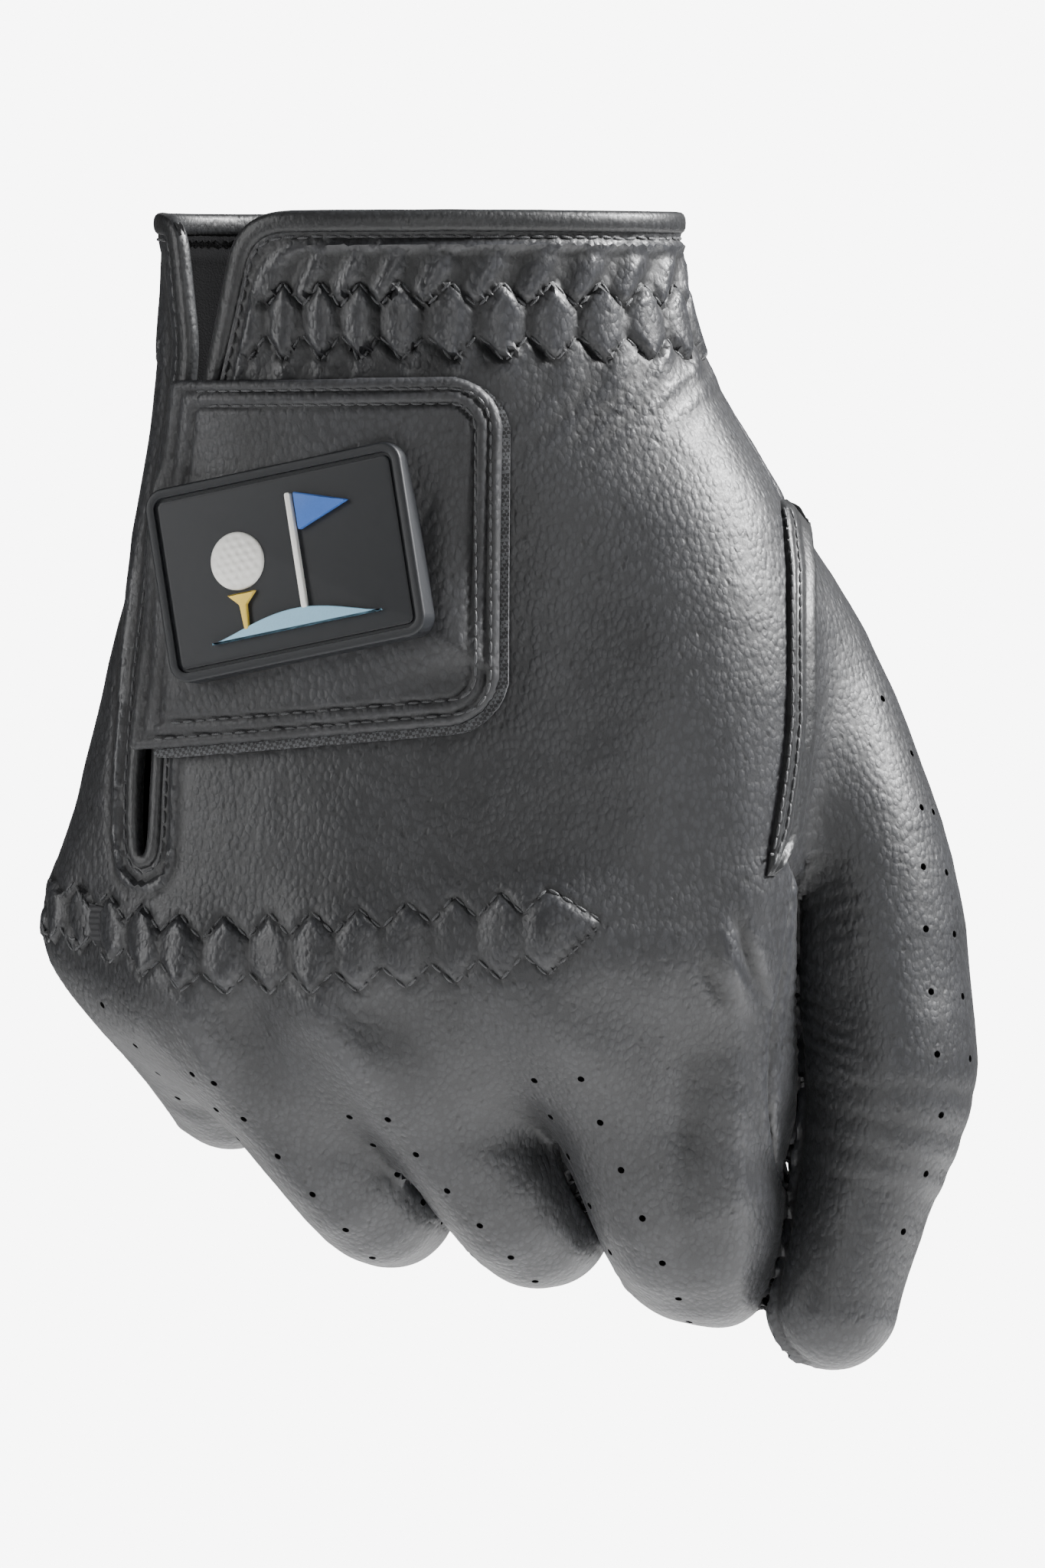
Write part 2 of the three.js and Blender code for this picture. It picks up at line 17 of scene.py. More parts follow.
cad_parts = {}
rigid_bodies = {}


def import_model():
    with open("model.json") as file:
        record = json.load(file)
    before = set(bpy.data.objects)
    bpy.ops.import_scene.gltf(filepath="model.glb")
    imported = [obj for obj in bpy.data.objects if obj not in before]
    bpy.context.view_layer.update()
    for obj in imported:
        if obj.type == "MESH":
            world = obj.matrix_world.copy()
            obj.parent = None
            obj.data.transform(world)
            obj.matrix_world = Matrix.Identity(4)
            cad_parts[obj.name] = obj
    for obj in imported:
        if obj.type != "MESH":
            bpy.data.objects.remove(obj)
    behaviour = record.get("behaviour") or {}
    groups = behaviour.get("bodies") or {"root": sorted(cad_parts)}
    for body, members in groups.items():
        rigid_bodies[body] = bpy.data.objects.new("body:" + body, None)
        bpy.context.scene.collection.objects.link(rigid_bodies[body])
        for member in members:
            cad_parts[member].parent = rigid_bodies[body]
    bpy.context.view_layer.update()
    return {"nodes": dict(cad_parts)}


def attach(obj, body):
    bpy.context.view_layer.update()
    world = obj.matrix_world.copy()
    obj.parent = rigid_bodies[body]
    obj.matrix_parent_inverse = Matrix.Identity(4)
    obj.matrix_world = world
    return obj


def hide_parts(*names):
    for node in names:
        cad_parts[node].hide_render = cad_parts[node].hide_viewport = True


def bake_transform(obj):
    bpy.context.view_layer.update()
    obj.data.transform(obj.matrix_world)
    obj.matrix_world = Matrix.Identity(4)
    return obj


for leftover in list(bpy.data.objects):
    bpy.data.objects.remove(leftover)
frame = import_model()

# %% [markdown]
# ## The hand inside the glove
# A glove is drawn round a hand, so the hand comes first: sections from wrist to knuckles, and a
# bent centre line with radii for each finger, the thumb and the muscle between them. Lengths are
# in millimetres about the middle of the hand, and turn into metres only when a mesh is made.

# %% Sizes of the hand
FRAME_SHIFT = np.array([0.091, -15.25, 0.269])
WRIST_WIDTH, WRIST_DEPTH = 67.0, 40.0
PALM_WIDTH, PALM_DEPTH = 95.0, 32.0
CUFF_TOP, KNUCKLE_LEVEL, KNUCKLE_CAP = 73.0, -18.0, 22.0
WRIST_TURN, FIST_TURN = 6.0, 21.0
# share of the way down, place across, place in depth, share of the way from wrist to palm width
DOWN_THE_HAND = np.array([
    [0.00, -12.9, 2.0, 0.00],
    [0.22, -12.3, 2.0, 0.02],
    [0.37, -9.4, 1.5, 0.40],
    [0.54, -7.6, 1.0, 0.76],
    [0.72, -9.3, 0.5, 0.97],
    [0.88, -13.0, 0.0, 1.00],
    [1.00, -14.5, -0.5, 0.99],
])


def unit(v):
    """Vectors scaled to length one."""
    return v / np.maximum(np.linalg.norm(v, axis=-1, keepdims=True), 1e-9)


def ease(low, high, x):
    """Zero below low, one above high, smooth between."""
    t = np.clip((x - low) / (high - low), 0, 1)
    return t * t * (3 - 2 * t)


def mix(a, b, t):
    return a + (b - a) * t


def bell(x, width):
    return np.exp(-((x / width) ** 2))


def rounded_column(k):
    """A column of the table on 241 even shares, with its corners rounded off."""
    share = np.linspace(0, 1, 241)
    line = np.interp(share, DOWN_THE_HAND[:, 0], DOWN_THE_HAND[:, k])
    padded = np.concatenate([np.full(16, line[0]), line, np.full(16, line[-1])])
    return np.convolve(padded, np.ones(33) / 33, "valid")


COLUMNS = [rounded_column(k) for k in (1, 2, 3)]


def hand_section(z):
    """Centre, turn and half sizes of the hand at heights z."""
    share = np.clip((CUFF_TOP - z) / (CUFF_TOP - KNUCKLE_LEVEL), 0, 1)
    x, y, widen = (np.interp(share, np.linspace(0, 1, 241), c) for c in COLUMNS)
    turn = np.radians(mix(WRIST_TURN, FIST_TURN, share))
    half_width = mix(WRIST_WIDTH, PALM_WIDTH, widen) / 2
    half_depth = mix(WRIST_DEPTH, PALM_DEPTH, np.minimum(1, share * 1.1)) / 2
    return x, y, turn, half_width, half_depth


def hand_place(p):
    """Coordinates of points across and through the hand, with its half sizes there."""
    x, y, turn, half_width, half_depth = hand_section(p[:, 2])
    dx, dy = p[:, 0] - x, p[:, 1] - y
    across = dx * np.cos(turn) - dy * np.sin(turn)
    through = dx * np.sin(turn) + dy * np.cos(turn)
    return across, through, half_width, half_depth


print("knuckle row centre", [round(float(v), 2) for v in hand_section(np.array(KNUCKLE_LEVEL))[:2]])

# %% Centre lines of the fingers and the thumb
FINGER_BEND = 13.0
FINGER_DEPTH = 1.1
TIP_WAY = unit(np.array([-0.35, -0.1, 0.93]))


def resample(points, step, length=None):
    """Points at even steps along a polyline."""
    lengths = np.concatenate([[0], np.cumsum(np.linalg.norm(np.diff(points, axis=0), axis=1))])
    total = length or lengths[-1]
    at = np.linspace(0, total, max(2, int(round(total / step)) + 1))
    return np.stack([np.interp(at, lengths, points[:, k]) for k in range(3)], axis=1)


def through_points(points, steps=8):
    """A smooth curve through the given points."""
    p = np.vstack([2 * points[0] - points[1], points, 2 * points[-1] - points[-2]])
    out = []
    for k in range(1, len(p) - 2):
        for t in np.arange(steps) / steps:
            a, b, c, d = p[k - 1], p[k], p[k + 1], p[k + 2]
            out.append(0.5 * (2 * b + (c - a) * t + (2 * a - 5 * b + 4 * c - d) * t**2
                              + (3 * b - a - 3 * c + d) * t**3))
    return np.vstack([out, points[-1]])


def rounded_corners(corners, reach):
    """A polyline whose corners are rounded off over the given reach."""
    out = [corners[0]]
    for before, corner, after in zip(corners, corners[1:], corners[2:]):
        a = corner + unit(before - corner) * reach
        b = corner + unit(after - corner) * reach
        for t in np.linspace(0, 1, 9):
            out.append(a * (1 - t) ** 2 + 2 * corner * t * (1 - t) + b * t**2)
    return np.array(out + [corners[-1]])


def limb(line, radii, side, flatten, step=4.0):
    """A limb: its line stops one tip radius short, so the round end lies where the line ended."""
    total = np.linalg.norm(np.diff(line, axis=0), axis=1).sum()
    points = resample(line, step, total - radii[-1])
    shares = np.linspace(0, 1, len(points)) * (len(radii) - 1)
    return {"points": points, "radii": np.interp(shares, range(len(radii)), radii),
            "side": unit(np.array(side, float)), "flatten": flatten}


def finger_limb(across, lift, drop, way, back, bones, radii):
    x, y, turn, half_width, _ = hand_section(np.array(KNUCKLE_LEVEL))
    root = np.array([x + math.cos(turn) * across * half_width,
                     y - math.sin(turn) * across * half_width - lift, KNUCKLE_LEVEL - drop])
    way, back = unit(np.array(way)), unit(np.array(back))
    knee = root + way * bones[0]
    bend = knee + back * bones[1]
    line = rounded_corners(np.array([root, knee, bend, bend + TIP_WAY * bones[2]]), FINGER_BEND)
    return limb(line, radii, np.cross(way, back), FINGER_DEPTH)


FINGERS = {
    "index": finger_limb(0.5, 0, 4, [0.35, 0.22, -0.91], [-0.1, 0.84, 0.5], [43.5, 35, 21],
                         [11.2, 11, 10.6, 9.4, 8.8]),
    "middle": finger_limb(-0.15, 5.5, 7, [0.58, 0.24, -0.78], [-0.18, 0.84, 0.5], [43.5, 35, 22],
                          [10, 9.8, 9.2, 8.8, 8.4]),
    "ring": finger_limb(-0.58, 4.5, 7, [0.6, 0.2, -0.77], [-0.2, 0.84, 0.5], [41, 33, 20],
                        [9.6, 9.4, 9, 8.6, 8.2]),
    "little": finger_limb(-0.83, -2.5, 0, [0.5, 0.34, -0.79], [-0.38, 0.8, 0.5], [31.5, 27, 17],
                          [8.8, 8.6, 8.2, 7.8, 7.4]),
}
root = FINGERS["index"]["points"][0]
WEB = limb(through_points(np.array([[12, 4, 30], [13, 2, 12], [15.5, 2, -12], [16.5, 5, -34],
                                    [15.5, 10, -50]]) + [root[0], root[1], 0]),
           [9, 11, 10.5, 9, 7], (1, 0, 0), 1.0)
THUMB = limb(through_points(np.array([[10, 4, 50], [22.6, 5.5, 31], [34.5, 6, 13], [42.3, 4, -8],
                                      [45.0, 3, -25], [46.3, 2, -38], [43, 2, -52], [40, 2, -64],
                                      [39, 2, -74.4]], float)),
             [12, 12, 11.6, 11.3, 11.8, 12.4, 12, 9.6, 8.4], (0.94, 0.34, 0), 1.12)
print("finger stations", {n: len(f["points"]) for n, f in FINGERS.items()})

# %% [markdown]
# ## One skin over the whole hand
# Soft leather bridges the valleys between the knuckles and parts only at the finger roots. A
# distance field does this well: each limb gives its distance, and neighbours are joined with a
# blend that is wide at the knuckles and nearly nothing past the crotch of two fingers. A surface
# net then turns the field into an even mesh.

# %% Distance to the hand
FAR = 30.0


def palm_field(p):
    across, through, a, b = hand_place(p)
    below = np.maximum(0, KNUCKLE_LEVEL - p[:, 2])
    k0 = np.sqrt((across / a) ** 2 + (through / b) ** 2 + (below / KNUCKLE_CAP) ** 2)
    k1 = np.sqrt((across / a**2) ** 2 + (through / b**2) ** 2 + (below / KNUCKLE_CAP**2) ** 2)
    return k0 * (k0 - 1) / np.maximum(k1, 1e-6)


def limb_field(p, part, reach=16.0):
    """Distance to a limb, and place along it, over it (sideways) and out from it (to its back)."""
    out = np.full((4, len(p)), FAR)
    out[1:] = 0
    points, radii = part["points"], part["radii"]
    margin = radii.max() * part["flatten"] + reach
    near = np.all((p > points.min(0) - margin) & (p < points.max(0) + margin), axis=1)
    if not near.any():
        return out
    q = p[near]
    best = np.full((4, len(q)), FAR)
    start = 0.0
    for k in range(len(points) - 1):
        step = points[k + 1] - points[k]
        length = np.linalg.norm(step)
        way = step / length
        over = unit(part["side"] - way * (part["side"] @ way))
        back = np.cross(way, over)
        d = q - points[k]
        t = np.clip(d @ way / length, 0, 1)
        d = d - t[:, None] * step
        side, outward = d @ over, d @ back
        rest = d @ way
        gap = np.sqrt(side**2 + (outward / part["flatten"]) ** 2 + rest**2)
        gap -= radii[k] + (radii[k + 1] - radii[k]) * t
        closer = gap < best[0]
        best[:, closer] = np.stack([gap, start + t * length, side, outward])[:, closer]
        start += length
    out[:, near] = best
    return out


def blend_min(a, b, k):
    h = np.clip(0.5 + 0.5 * (b - a) / k, 0, 1)
    return mix(b, a, h) - k * h * (1 - h)


CROTCHES = {("index", "middle"): 22.0, ("middle", "ring"): 21.0, ("ring", "little"): 20.0}
FINGER_GAP = 1.0
THUMB_GAP = 0.5
THUMB_PARTS_AT = -10.0


def measure(p):
    """The limbs' own fields at points, as one dictionary."""
    fields = {name: limb_field(p, f) for name, f in FINGERS.items()}
    fields["web"] = limb_field(p, WEB)
    fields["thumb"] = limb_field(p, THUMB)
    fields["palm"] = palm_field(p)
    against_thumb = (1.5 + 2.4 * bell(p[:, 2] + 44, 14)) * ease(20, 29, p[:, 0]) * ease(-6, -14, p[:, 2])
    fields["web"][0] -= against_thumb
    fields["index"][0] -= against_thumb
    return fields


def thumb_apart(z):
    return ease(THUMB_PARTS_AT + 4, THUMB_PARTS_AT - 6, z)


def skin_field(p):
    m = measure(p)
    hand = blend_min(m["palm"], m["web"][0], 9)
    for name in FINGERS:
        d, along = m[name][:2]
        hand = blend_min(hand, d, mix(9, 1.0, ease(16, 38, along)))
    for (a, b), crotch in CROTCHES.items():
        da, db = m[a][0], m[b][0]
        past = ease(crotch, crotch + 7, np.minimum(m[a][1], m[b][1])) * (np.maximum(da, db) < 12)
        wall = 0.5 * (FINGER_GAP * past - np.abs(da - db)) - 6 * (1 - ease(0, 0.15, past))
        hand = np.maximum(hand, wall)
    apart = thumb_apart(p[:, 2])
    thumb = m["thumb"][0]
    together = blend_min(hand, thumb, mix(8, 0.8, apart))
    wall = 0.5 * (THUMB_GAP * apart - np.abs(hand - thumb)) - 6 * (1 - ease(0, 0.15, apart))
    return np.maximum(together, wall)


# %% Turn the field into a mesh
CELL = 0.8


def grid_values(field, low, counts, cell, block=8):
    """Field on a grid, worked out in full only in blocks near the surface."""
    blocks = counts // block
    centres = np.stack(np.meshgrid(*[low[k] + cell * (block * np.arange(blocks[k]) + (block - 1) / 2)
                                     for k in range(3)], indexing="ij"), -1).reshape(-1, 3)
    coarse = field(centres).reshape(blocks)
    values = coarse.astype(np.float32)
    for axis in range(3):
        values = np.repeat(values, block, axis)
    inner = np.stack(np.meshgrid(*[np.arange(block)] * 3, indexing="ij"), -1).reshape(-1, 3)
    active = np.argwhere(np.abs(coarse) < cell * block * 0.9 + 1.0)
    for part in np.array_split(active, max(1, len(active) // 200)):
        at = (part[:, None] * block + inner).reshape(-1, 3)
        values[tuple(at.T)] = field(low + cell * at)
    return values


def surface_net(field, low, high, cell):
    counts = (np.ceil((high - low) / cell / 8)).astype(int) * 8
    values = grid_values(field, low, counts, cell)
    inside = values < 0
    total, many, quads = np.zeros((values.size, 3)), np.zeros(values.size), []
    for axis in range(3):
        a = np.moveaxis(values, axis, 0)
        s = np.moveaxis(inside, axis, 0)
        at = np.argwhere(s[:-1] != s[1:])
        first, second = a[tuple(at.T)], a[tuple((at + [1, 0, 0]).T)]
        place = np.zeros((len(at), 3), int)
        others = [k for k in range(3) if k != axis]
        place[:, axis], place[:, others[0]], place[:, others[1]] = at[:, 0], at[:, 1], at[:, 2]
        point = place.astype(float)
        point[:, axis] += first / (first - second)
        u, v = (axis + 1) % 3, (axis + 2) % 3
        ring = []
        for du, dv in ((0, 0), (-1, 0), (-1, -1), (0, -1)):
            cellplace = place.copy()
            cellplace[:, u] += du
            cellplace[:, v] += dv
            flat = np.ravel_multi_index(np.clip(cellplace, 0, None).T, values.shape)
            np.add.at(total, flat, point)
            np.add.at(many, flat, 1)
            ring.append(flat)
        ring = np.stack(ring, 1)
        turned = ~inside[tuple(place.T)]
        ring[turned] = ring[turned][:, ::-1]
        quads.append(ring)
    quads = np.vstack(quads)
    used, index = np.unique(quads, return_inverse=True)
    points = low + cell * total[used] / many[used][:, None]
    quads = index.reshape(-1, 4)
    return points, np.vstack([quads[:, [0, 1, 2]], quads[:, [0, 2, 3]]])


def neighbour_mean(points, faces):
    """Mean of each point's neighbours along the faces' edges."""
    a = np.concatenate([faces[:, k] for k in (0, 1, 2, 1, 2, 0)])
    b = np.concatenate([faces[:, k] for k in (1, 2, 0, 0, 1, 2)])
    count = np.bincount(a, minlength=len(points))
    mean = np.stack([np.bincount(a, points[b, k], len(points)) for k in range(3)], 1)
    return mean / np.maximum(count, 1)[:, None]


def gradient(field, p, h=0.25):
    here = field(p)
    slope = np.stack([field(p + h * e) - here for e in np.eye(3)], 1) / h
    return here, slope


def point_normals(points, faces):
    n = np.cross(points[faces[:, 1]] - points[faces[:, 0]], points[faces[:, 2]] - points[faces[:, 0]])
    total = np.stack([np.bincount(faces.ravel(), np.repeat(n[:, k], 3), len(points)) for k in range(3)], 1)
    return unit(total)


skin, faces = surface_net(skin_field, np.array([-63.0, -26, -78]), np.array([62.0, 60, 77]), CELL)
for _ in range(2):
    skin = mix(skin, neighbour_mean(skin, faces), 0.5)
    value, slope = gradient(skin_field, skin)
    skin -= np.clip(value, -0.5, 0.5)[:, None] * unit(slope)
normals = point_normals(skin, faces)
for _ in range(3):
    normals = unit(mix(normals, neighbour_mean(normals, faces), 0.5))
print("skin", len(skin), "points", len(faces), "faces")

# %% [markdown]
# ## Where the seams run
# Each seam is the zero line of a number that is worked out at every point: the distance to the
# bound edge, to the side seams, to the thumb seam. Scoring the skin along a zero line puts new
# points exactly on it, so that panels can be taken apart there with clean edges.

# %% Numbers that say where the seams are
LEATHER = 0.9
SIDE_SEAM = 5.0
CUFF_EDGE = 72.7
# height, middle and half width of the opening at the wrist, between the leather edges
OPENING = np.array([
    [-9.5, -48.1, 0.5],
    [-7.0, -48.1, 0.9],
    [1.0, -47.9, 1.0],
    [14.0, -47.0, 0.9],
    [32.0, -44.6, 0.9],
    [50.0, -41.4, 1.0],
    [56.0, -40.4, 1.4],
    [66.0, -39.9, 3.0],
    [80.0, -39.6, 4.6],
])
# height and place of the left edge of the lapped band over the thumb seam
THUMB_BAND = np.array([[-11.0, 31.1], [-4.4, 32.1], [3.0, 33.2], [9.0, 33.8], [28.0, 33.8], [36.0, 33.0], [60.0, 32.4]])
BAND_WIDTH = 3.1


def opening_middle(z):
    return np.interp(z, OPENING[:, 0], OPENING[:, 1])


def thumb_line(z):
    return np.interp(z, THUMB_BAND[:, 0], THUMB_BAND[:, 1])


def edge_field(p, through):
    """Distance into the leather from the bound edge of the cuff and of the wrist opening."""
    z = p[:, 2]
    top = CUFF_EDGE - z
    dx = p[:, 0] - opening_middle(z)
    beyond = np.maximum(0, OPENING[0, 0] - z)
    slit = np.hypot(dx, beyond) - np.interp(z, OPENING[:, 0], OPENING[:, 2])
    slit = np.where(through < 3, slit, FAR)
    return blend_min(top, slit, np.where(dx > 0, 6.5, 3.0))


def seam_numbers(p, m):
    """Edge distance, thumb side, back side, and half width of the side strips of the fingers."""
    across, through, a, b = hand_place(p)
    hand = np.minimum(m["palm"], m["web"][0])
    nearest = hand.copy()
    for name in FINGERS:
        nearest = np.minimum(nearest, m[name][0])
    weight = np.exp(-(hand - nearest) / 1.2)
    back = weight * (SIDE_SEAM - through)
    for name in FINGERS:
        share = np.exp(-(m[name][0] - nearest) / 1.2)
        back += share * m[name][3]
        weight += share
    back /= weight
    strip = np.full(len(p), -0.02)
    for (one, two), crotch in CROTCHES.items():
        facing = ease(9, 4, np.maximum(m[one][0], m[two][0]))
        past = ease(crotch - 5, crotch + 4, np.minimum(m[one][1], m[two][1]))
        strip += 3.5 * facing * past
    thumb_side = mix(p[:, 0] - thumb_line(p[:, 2]) - 1.5, hand_distance(m) - m["thumb"][0], thumb_apart(p[:, 2]))
    return np.stack([edge_field(p, through), thumb_side, back, m["thumb"][3], strip], 1)


def hand_distance(m):
    d = np.minimum(m["palm"], m["web"][0])
    for name in FINGERS:
        d = np.minimum(d, m[name][0])
    return d


def score(points, extra, faces, column, snap=0.1):
    """Adds points where a column of extra is zero, and splits the faces there."""
    f = extra[:, column].copy()
    f[np.abs(f) < snap] = 0
    extra = extra.copy()
    extra[:, column] = f
    n = len(points)
    edges = np.sort(np.stack([faces, np.roll(faces, -1, 1)], 2), 2).astype(np.int64)
    crossing = f[edges[..., 0]] * f[edges[..., 1]] < 0
    keys, place = np.unique((edges[..., 0] * n + edges[..., 1])[crossing], return_inverse=True)
    a, b = keys // n, keys % n
    t = (f[a] / (f[a] - f[b]))[:, None]
    fresh = mix(extra[a], extra[b], t)
    fresh[:, column] = 0
    middle = np.full(faces.shape, -1)
    middle[crossing] = n + place
    points = np.vstack([points, mix(points[a], points[b], t)])
    extra = np.vstack([extra, fresh])
    split = crossing.sum(1)
    out = [faces[split == 0]]
    for k in range(3):
        one = (split == 1) & crossing[:, k]
        v, mid = np.roll(faces[one], -k, 1), middle[one, k]
        out += [np.stack([v[:, 0], mid, v[:, 2]], 1), np.stack([mid, v[:, 1], v[:, 2]], 1)]
        two = (split == 2) & crossing[:, k] & crossing[:, (k + 2) % 3]
        v, m0, m2 = np.roll(faces[two], -k, 1), middle[two, k], middle[two, (k + 2) % 3]
        out += [np.stack([v[:, 0], m0, m2], 1), np.stack([m0, v[:, 1], m2], 1),
                np.stack([v[:, 1], v[:, 2], m2], 1)]
    return points, extra, np.vstack(out)


numbers = seam_numbers(skin, measure(skin))
EDGE, THUMB_SIDE, BACK, THUMB_BACK, STRIP, UPPER, LOWER = range(3, 10)
extra = np.hstack([normals, numbers, (numbers[:, 2] - numbers[:, 4])[:, None], (numbers[:, 2] + numbers[:, 4])[:, None]])
for column in (EDGE, THUMB_SIDE, UPPER, LOWER, THUMB_BACK):
    skin, extra, faces = score(skin, extra, faces, column)
normals = unit(extra[:, :3])
print("scored skin", len(skin), "points")

# %% [markdown]
# ## Relief of the sewn leather
# Gathers, puffs, grooves and wrinkles are moves of the skin along its normals. Elastic is sewn
# behind the cuff in two zigzag rows: the leather between them swells into lenses, and above
# them it leans in pleats. One more zigzag band runs over the knuckles and ends in a point.

# %% Zigzag rows
CUFF_ROWS = (62.5, 55.6)
ZIGZAG_HEIGHT = 1.6
PLEAT_LEAN = 0.45
theta = np.linspace(-1.5 * np.pi, 0.5 * np.pi, 721)
arc_steps = np.hypot(WRIST_WIDTH / 2 * np.sin(theta), WRIST_DEPTH / 2 * np.cos(theta))
ARC = np.concatenate([[0], np.cumsum((arc_steps[1:] + arc_steps[:-1]) / 2 * np.diff(theta))])
ARC -= np.interp(-np.pi / 2, theta, ARC)


def zigzag(phase):
    """Triangle wave: one at whole numbers, minus one halfway between."""
    return 1 - 4 * np.abs(phase - np.round(phase))


def cuff_phase(p, lean=0.0):
    across, through, a, b = hand_place(p)
    angle = np.arctan2(through / b, across / a)
    angle = np.where(angle > np.pi / 2, angle - 2 * np.pi, angle)
    arc = np.interp(angle, theta, ARC) - lean * (p[:, 2] - CUFF_ROWS[0])
    return np.where(arc > 0, arc / 6.5, arc / 5.1)


def band_height(x, upper):
    """Middle heights of the two zigzag rows over the knuckles."""
    if upper:
        return np.interp(x, [-60, -54.7, -42, -23.3, -3.7, 6], [-13, -14.6, -17.9, -16.9, -14.5, -13.9])
    return np.interp(x, [-60, -49.6, -42, -23.3, -3.7, 4], [-19, -22.2, -25.0, -24.6, -22.8, -21.9])


def tree_of(points, faces):
    return BVHTree.FromPolygons(points.tolist(), faces.tolist())


def front_points(tree, x, z, start=-80.0):
    """Points and normals where the back of the hand lies at places seen from straight behind it."""
    places, ways = [], []
    for px, pz in zip(x, z):
        hit, normal, _, _ = tree.ray_cast(Vector((px, start, pz)), Vector((0, 1, 0)))
        if hit is None:
            hit, normal, _, _ = tree.find_nearest(Vector((px, 0, pz)))
        places.append(hit)
        ways.append(normal)
    return np.array(places), np.array(ways)


smooth_tree = tree_of(skin, faces)
BAND_TIP = (10.4, -16.7)
BAND_PITCH = 6.3
band_x = np.linspace(BAND_TIP[0], -62, 120)
on_band, _ = front_points(smooth_tree, band_x, (band_height(band_x, True) + band_height(band_x, False)) / 2)
band_arc = np.concatenate([[0], np.cumsum(np.linalg.norm(np.diff(on_band, axis=0), axis=1))])


def band_rows(x):
    """Phase along the knuckle band and heights of its upper and lower zigzag rows."""
    phase = np.interp(-x, -band_x, band_arc) / BAND_PITCH - 1.1
    wave = zigzag(np.maximum(phase, 0))
    upper = band_height(x, True) + 1.5 * wave
    lower = band_height(x, False) - 1.5 * wave
    to_tip = np.clip(-phase / 1.1, 0, 1)
    return phase, mix(upper, BAND_TIP[1] + 0.05, to_tip), mix(lower, BAND_TIP[1] - 0.05, to_tip)


def lens(phase):
    return 1 - np.abs(2 * (phase - np.round(phase))) ** 2.2


def cuff_relief(p, through, edge):
    z = p[:, 2]
    phase = cuff_phase(p)
    leaning = cuff_phase(p, PLEAT_LEAN)
    upper = CUFF_ROWS[0] + ZIGZAG_HEIGHT * zigzag(phase)
    lower = CUFF_ROWS[1] - ZIGZAG_HEIGHT * zigzag(phase)
    between = ease(0, 0.9, upper - z) * ease(0, 0.9, z - lower)
    move = between * (0.95 * lens(phase) - 0.3)
    move -= 0.55 * bell(z - upper, 0.5) + 0.55 * bell(z - lower, 0.5)
    move -= 0.55 * ease(0, 1.2, z - upper) * ease(69.5, 66, z) * np.cos(2 * np.pi * leaning)
    move -= 0.4 * np.exp(-np.maximum(0, lower - z) / 3.2) * (z < lower) * np.cos(2 * np.pi * cuff_phase(p, 0.25))
    return move * ease(8, 1, through) * ease(3.4, 5.2, edge)


def band_relief(p, through, front):
    phase, upper, lower = band_rows(p[:, 0])
    z = p[:, 2]
    inside = ease(0, 0.9, upper - z) * ease(0, 0.9, z - lower) * ease(-1.1, -0.9, phase)
    swell = mix(0.35, 0.75, ease(2, 9, phase))
    shape = np.where(phase < 0, 1.0, lens(phase))
    lines = (bell(z - upper, 0.42) + bell(z - lower, 0.42)) * ease(-1.12, -1.0, phase)
    return (inside * (swell * shape - 0.15) - 0.4 * lines) * front * ease(5, 1, through)


print("cuff arc", round(float(ARC[-1] - ARC[0]), 1), "knuckle band", round(float(band_arc[-1]), 1))

# %% Knuckles, folds and wrinkles


def spot(p, x, z, along, wide, long):
    """A soft spot in the front view, longer in one direction."""
    way = unit(np.array(along, float))
    dx, dz = p[:, 0] - x, p[:, 2] - z
    u, v = dx * way[0] + dz * way[1], dx * way[1] - dz * way[0]
    return np.exp(-((u / long) ** 2) - (v / wide) ** 2)


# place across, height, direction, width, length and height of each soft form on the back of the hand
KNUCKLE_FORMS = [
    (-40.5, -32.5, (0.42, -0.9), 2.4, 7.5, 1.1),
    (-34.6, -31.5, (0.5, -0.87), 3.4, 6.0, -1.5),
    (-22.5, -33.0, (0.62, -0.78), 2.6, 8.0, 1.1),
    (-17.4, -30.0, (0.7, -0.7), 4.0, 6.5, -1.5),
    (6.5, -33.0, (0.72, -0.7), 3.2, 8.0, 0.7),
    (14.0, -29.5, (0.8, -0.6), 5.0, 7.5, -0.7),
    (3.2, -17.0, (1, 0), 4.5, 5.5, 0.9),
    (-57.0, -17.0, (0, 1), 4.5, 8.5, -1.7),
    (26.8, -22.5, (0.25, -1), 1.1, 3.8, 0.8),
    (29.2, -21.0, (0.3, -1), 0.9, 5.0, -1.0),
    (24.4, -24.5, (0.5, -1), 0.8, 3.0, -0.5),
    (24.0, -10.0, (0.2, -1), 5.0, 12.0, -0.6),
]


def cloudy(p, scale):
    """Smooth noise between minus one and one."""
    return np.array([noise.noise(Vector(q)) for q in p / scale])


def wrinkles(p, m, front):
    """Fine fans of wrinkles on the thumb's inner side and beside the thumb's root."""
    x, z = p[:, 0], p[:, 2]
    sway = 1.6 * cloudy(p, 9.0)
    thumb_fan = spot(p, 38.0, -31.0, (0.3, -1), 4.5, 10.0)
    move = 0.22 * thumb_fan * np.sin(2 * np.pi * (z + 0.42 * x + sway) / 1.9)
    web_fan = spot(p, 39.0, -14.0, (0.6, -1), 4.5, 8.0)
    move += 0.14 * web_fan * np.sin(2 * np.pi * (z - 0.3 * x + sway) / 2.2)
    cuff_fan = spot(p, 12.0, 48.0, (1, 0.2), 5.0, 13.0)
    move += 0.2 * cuff_fan * np.sin(2 * np.pi * (x - 0.9 * z + 1.4 * sway) / 4.6)
    return move * front


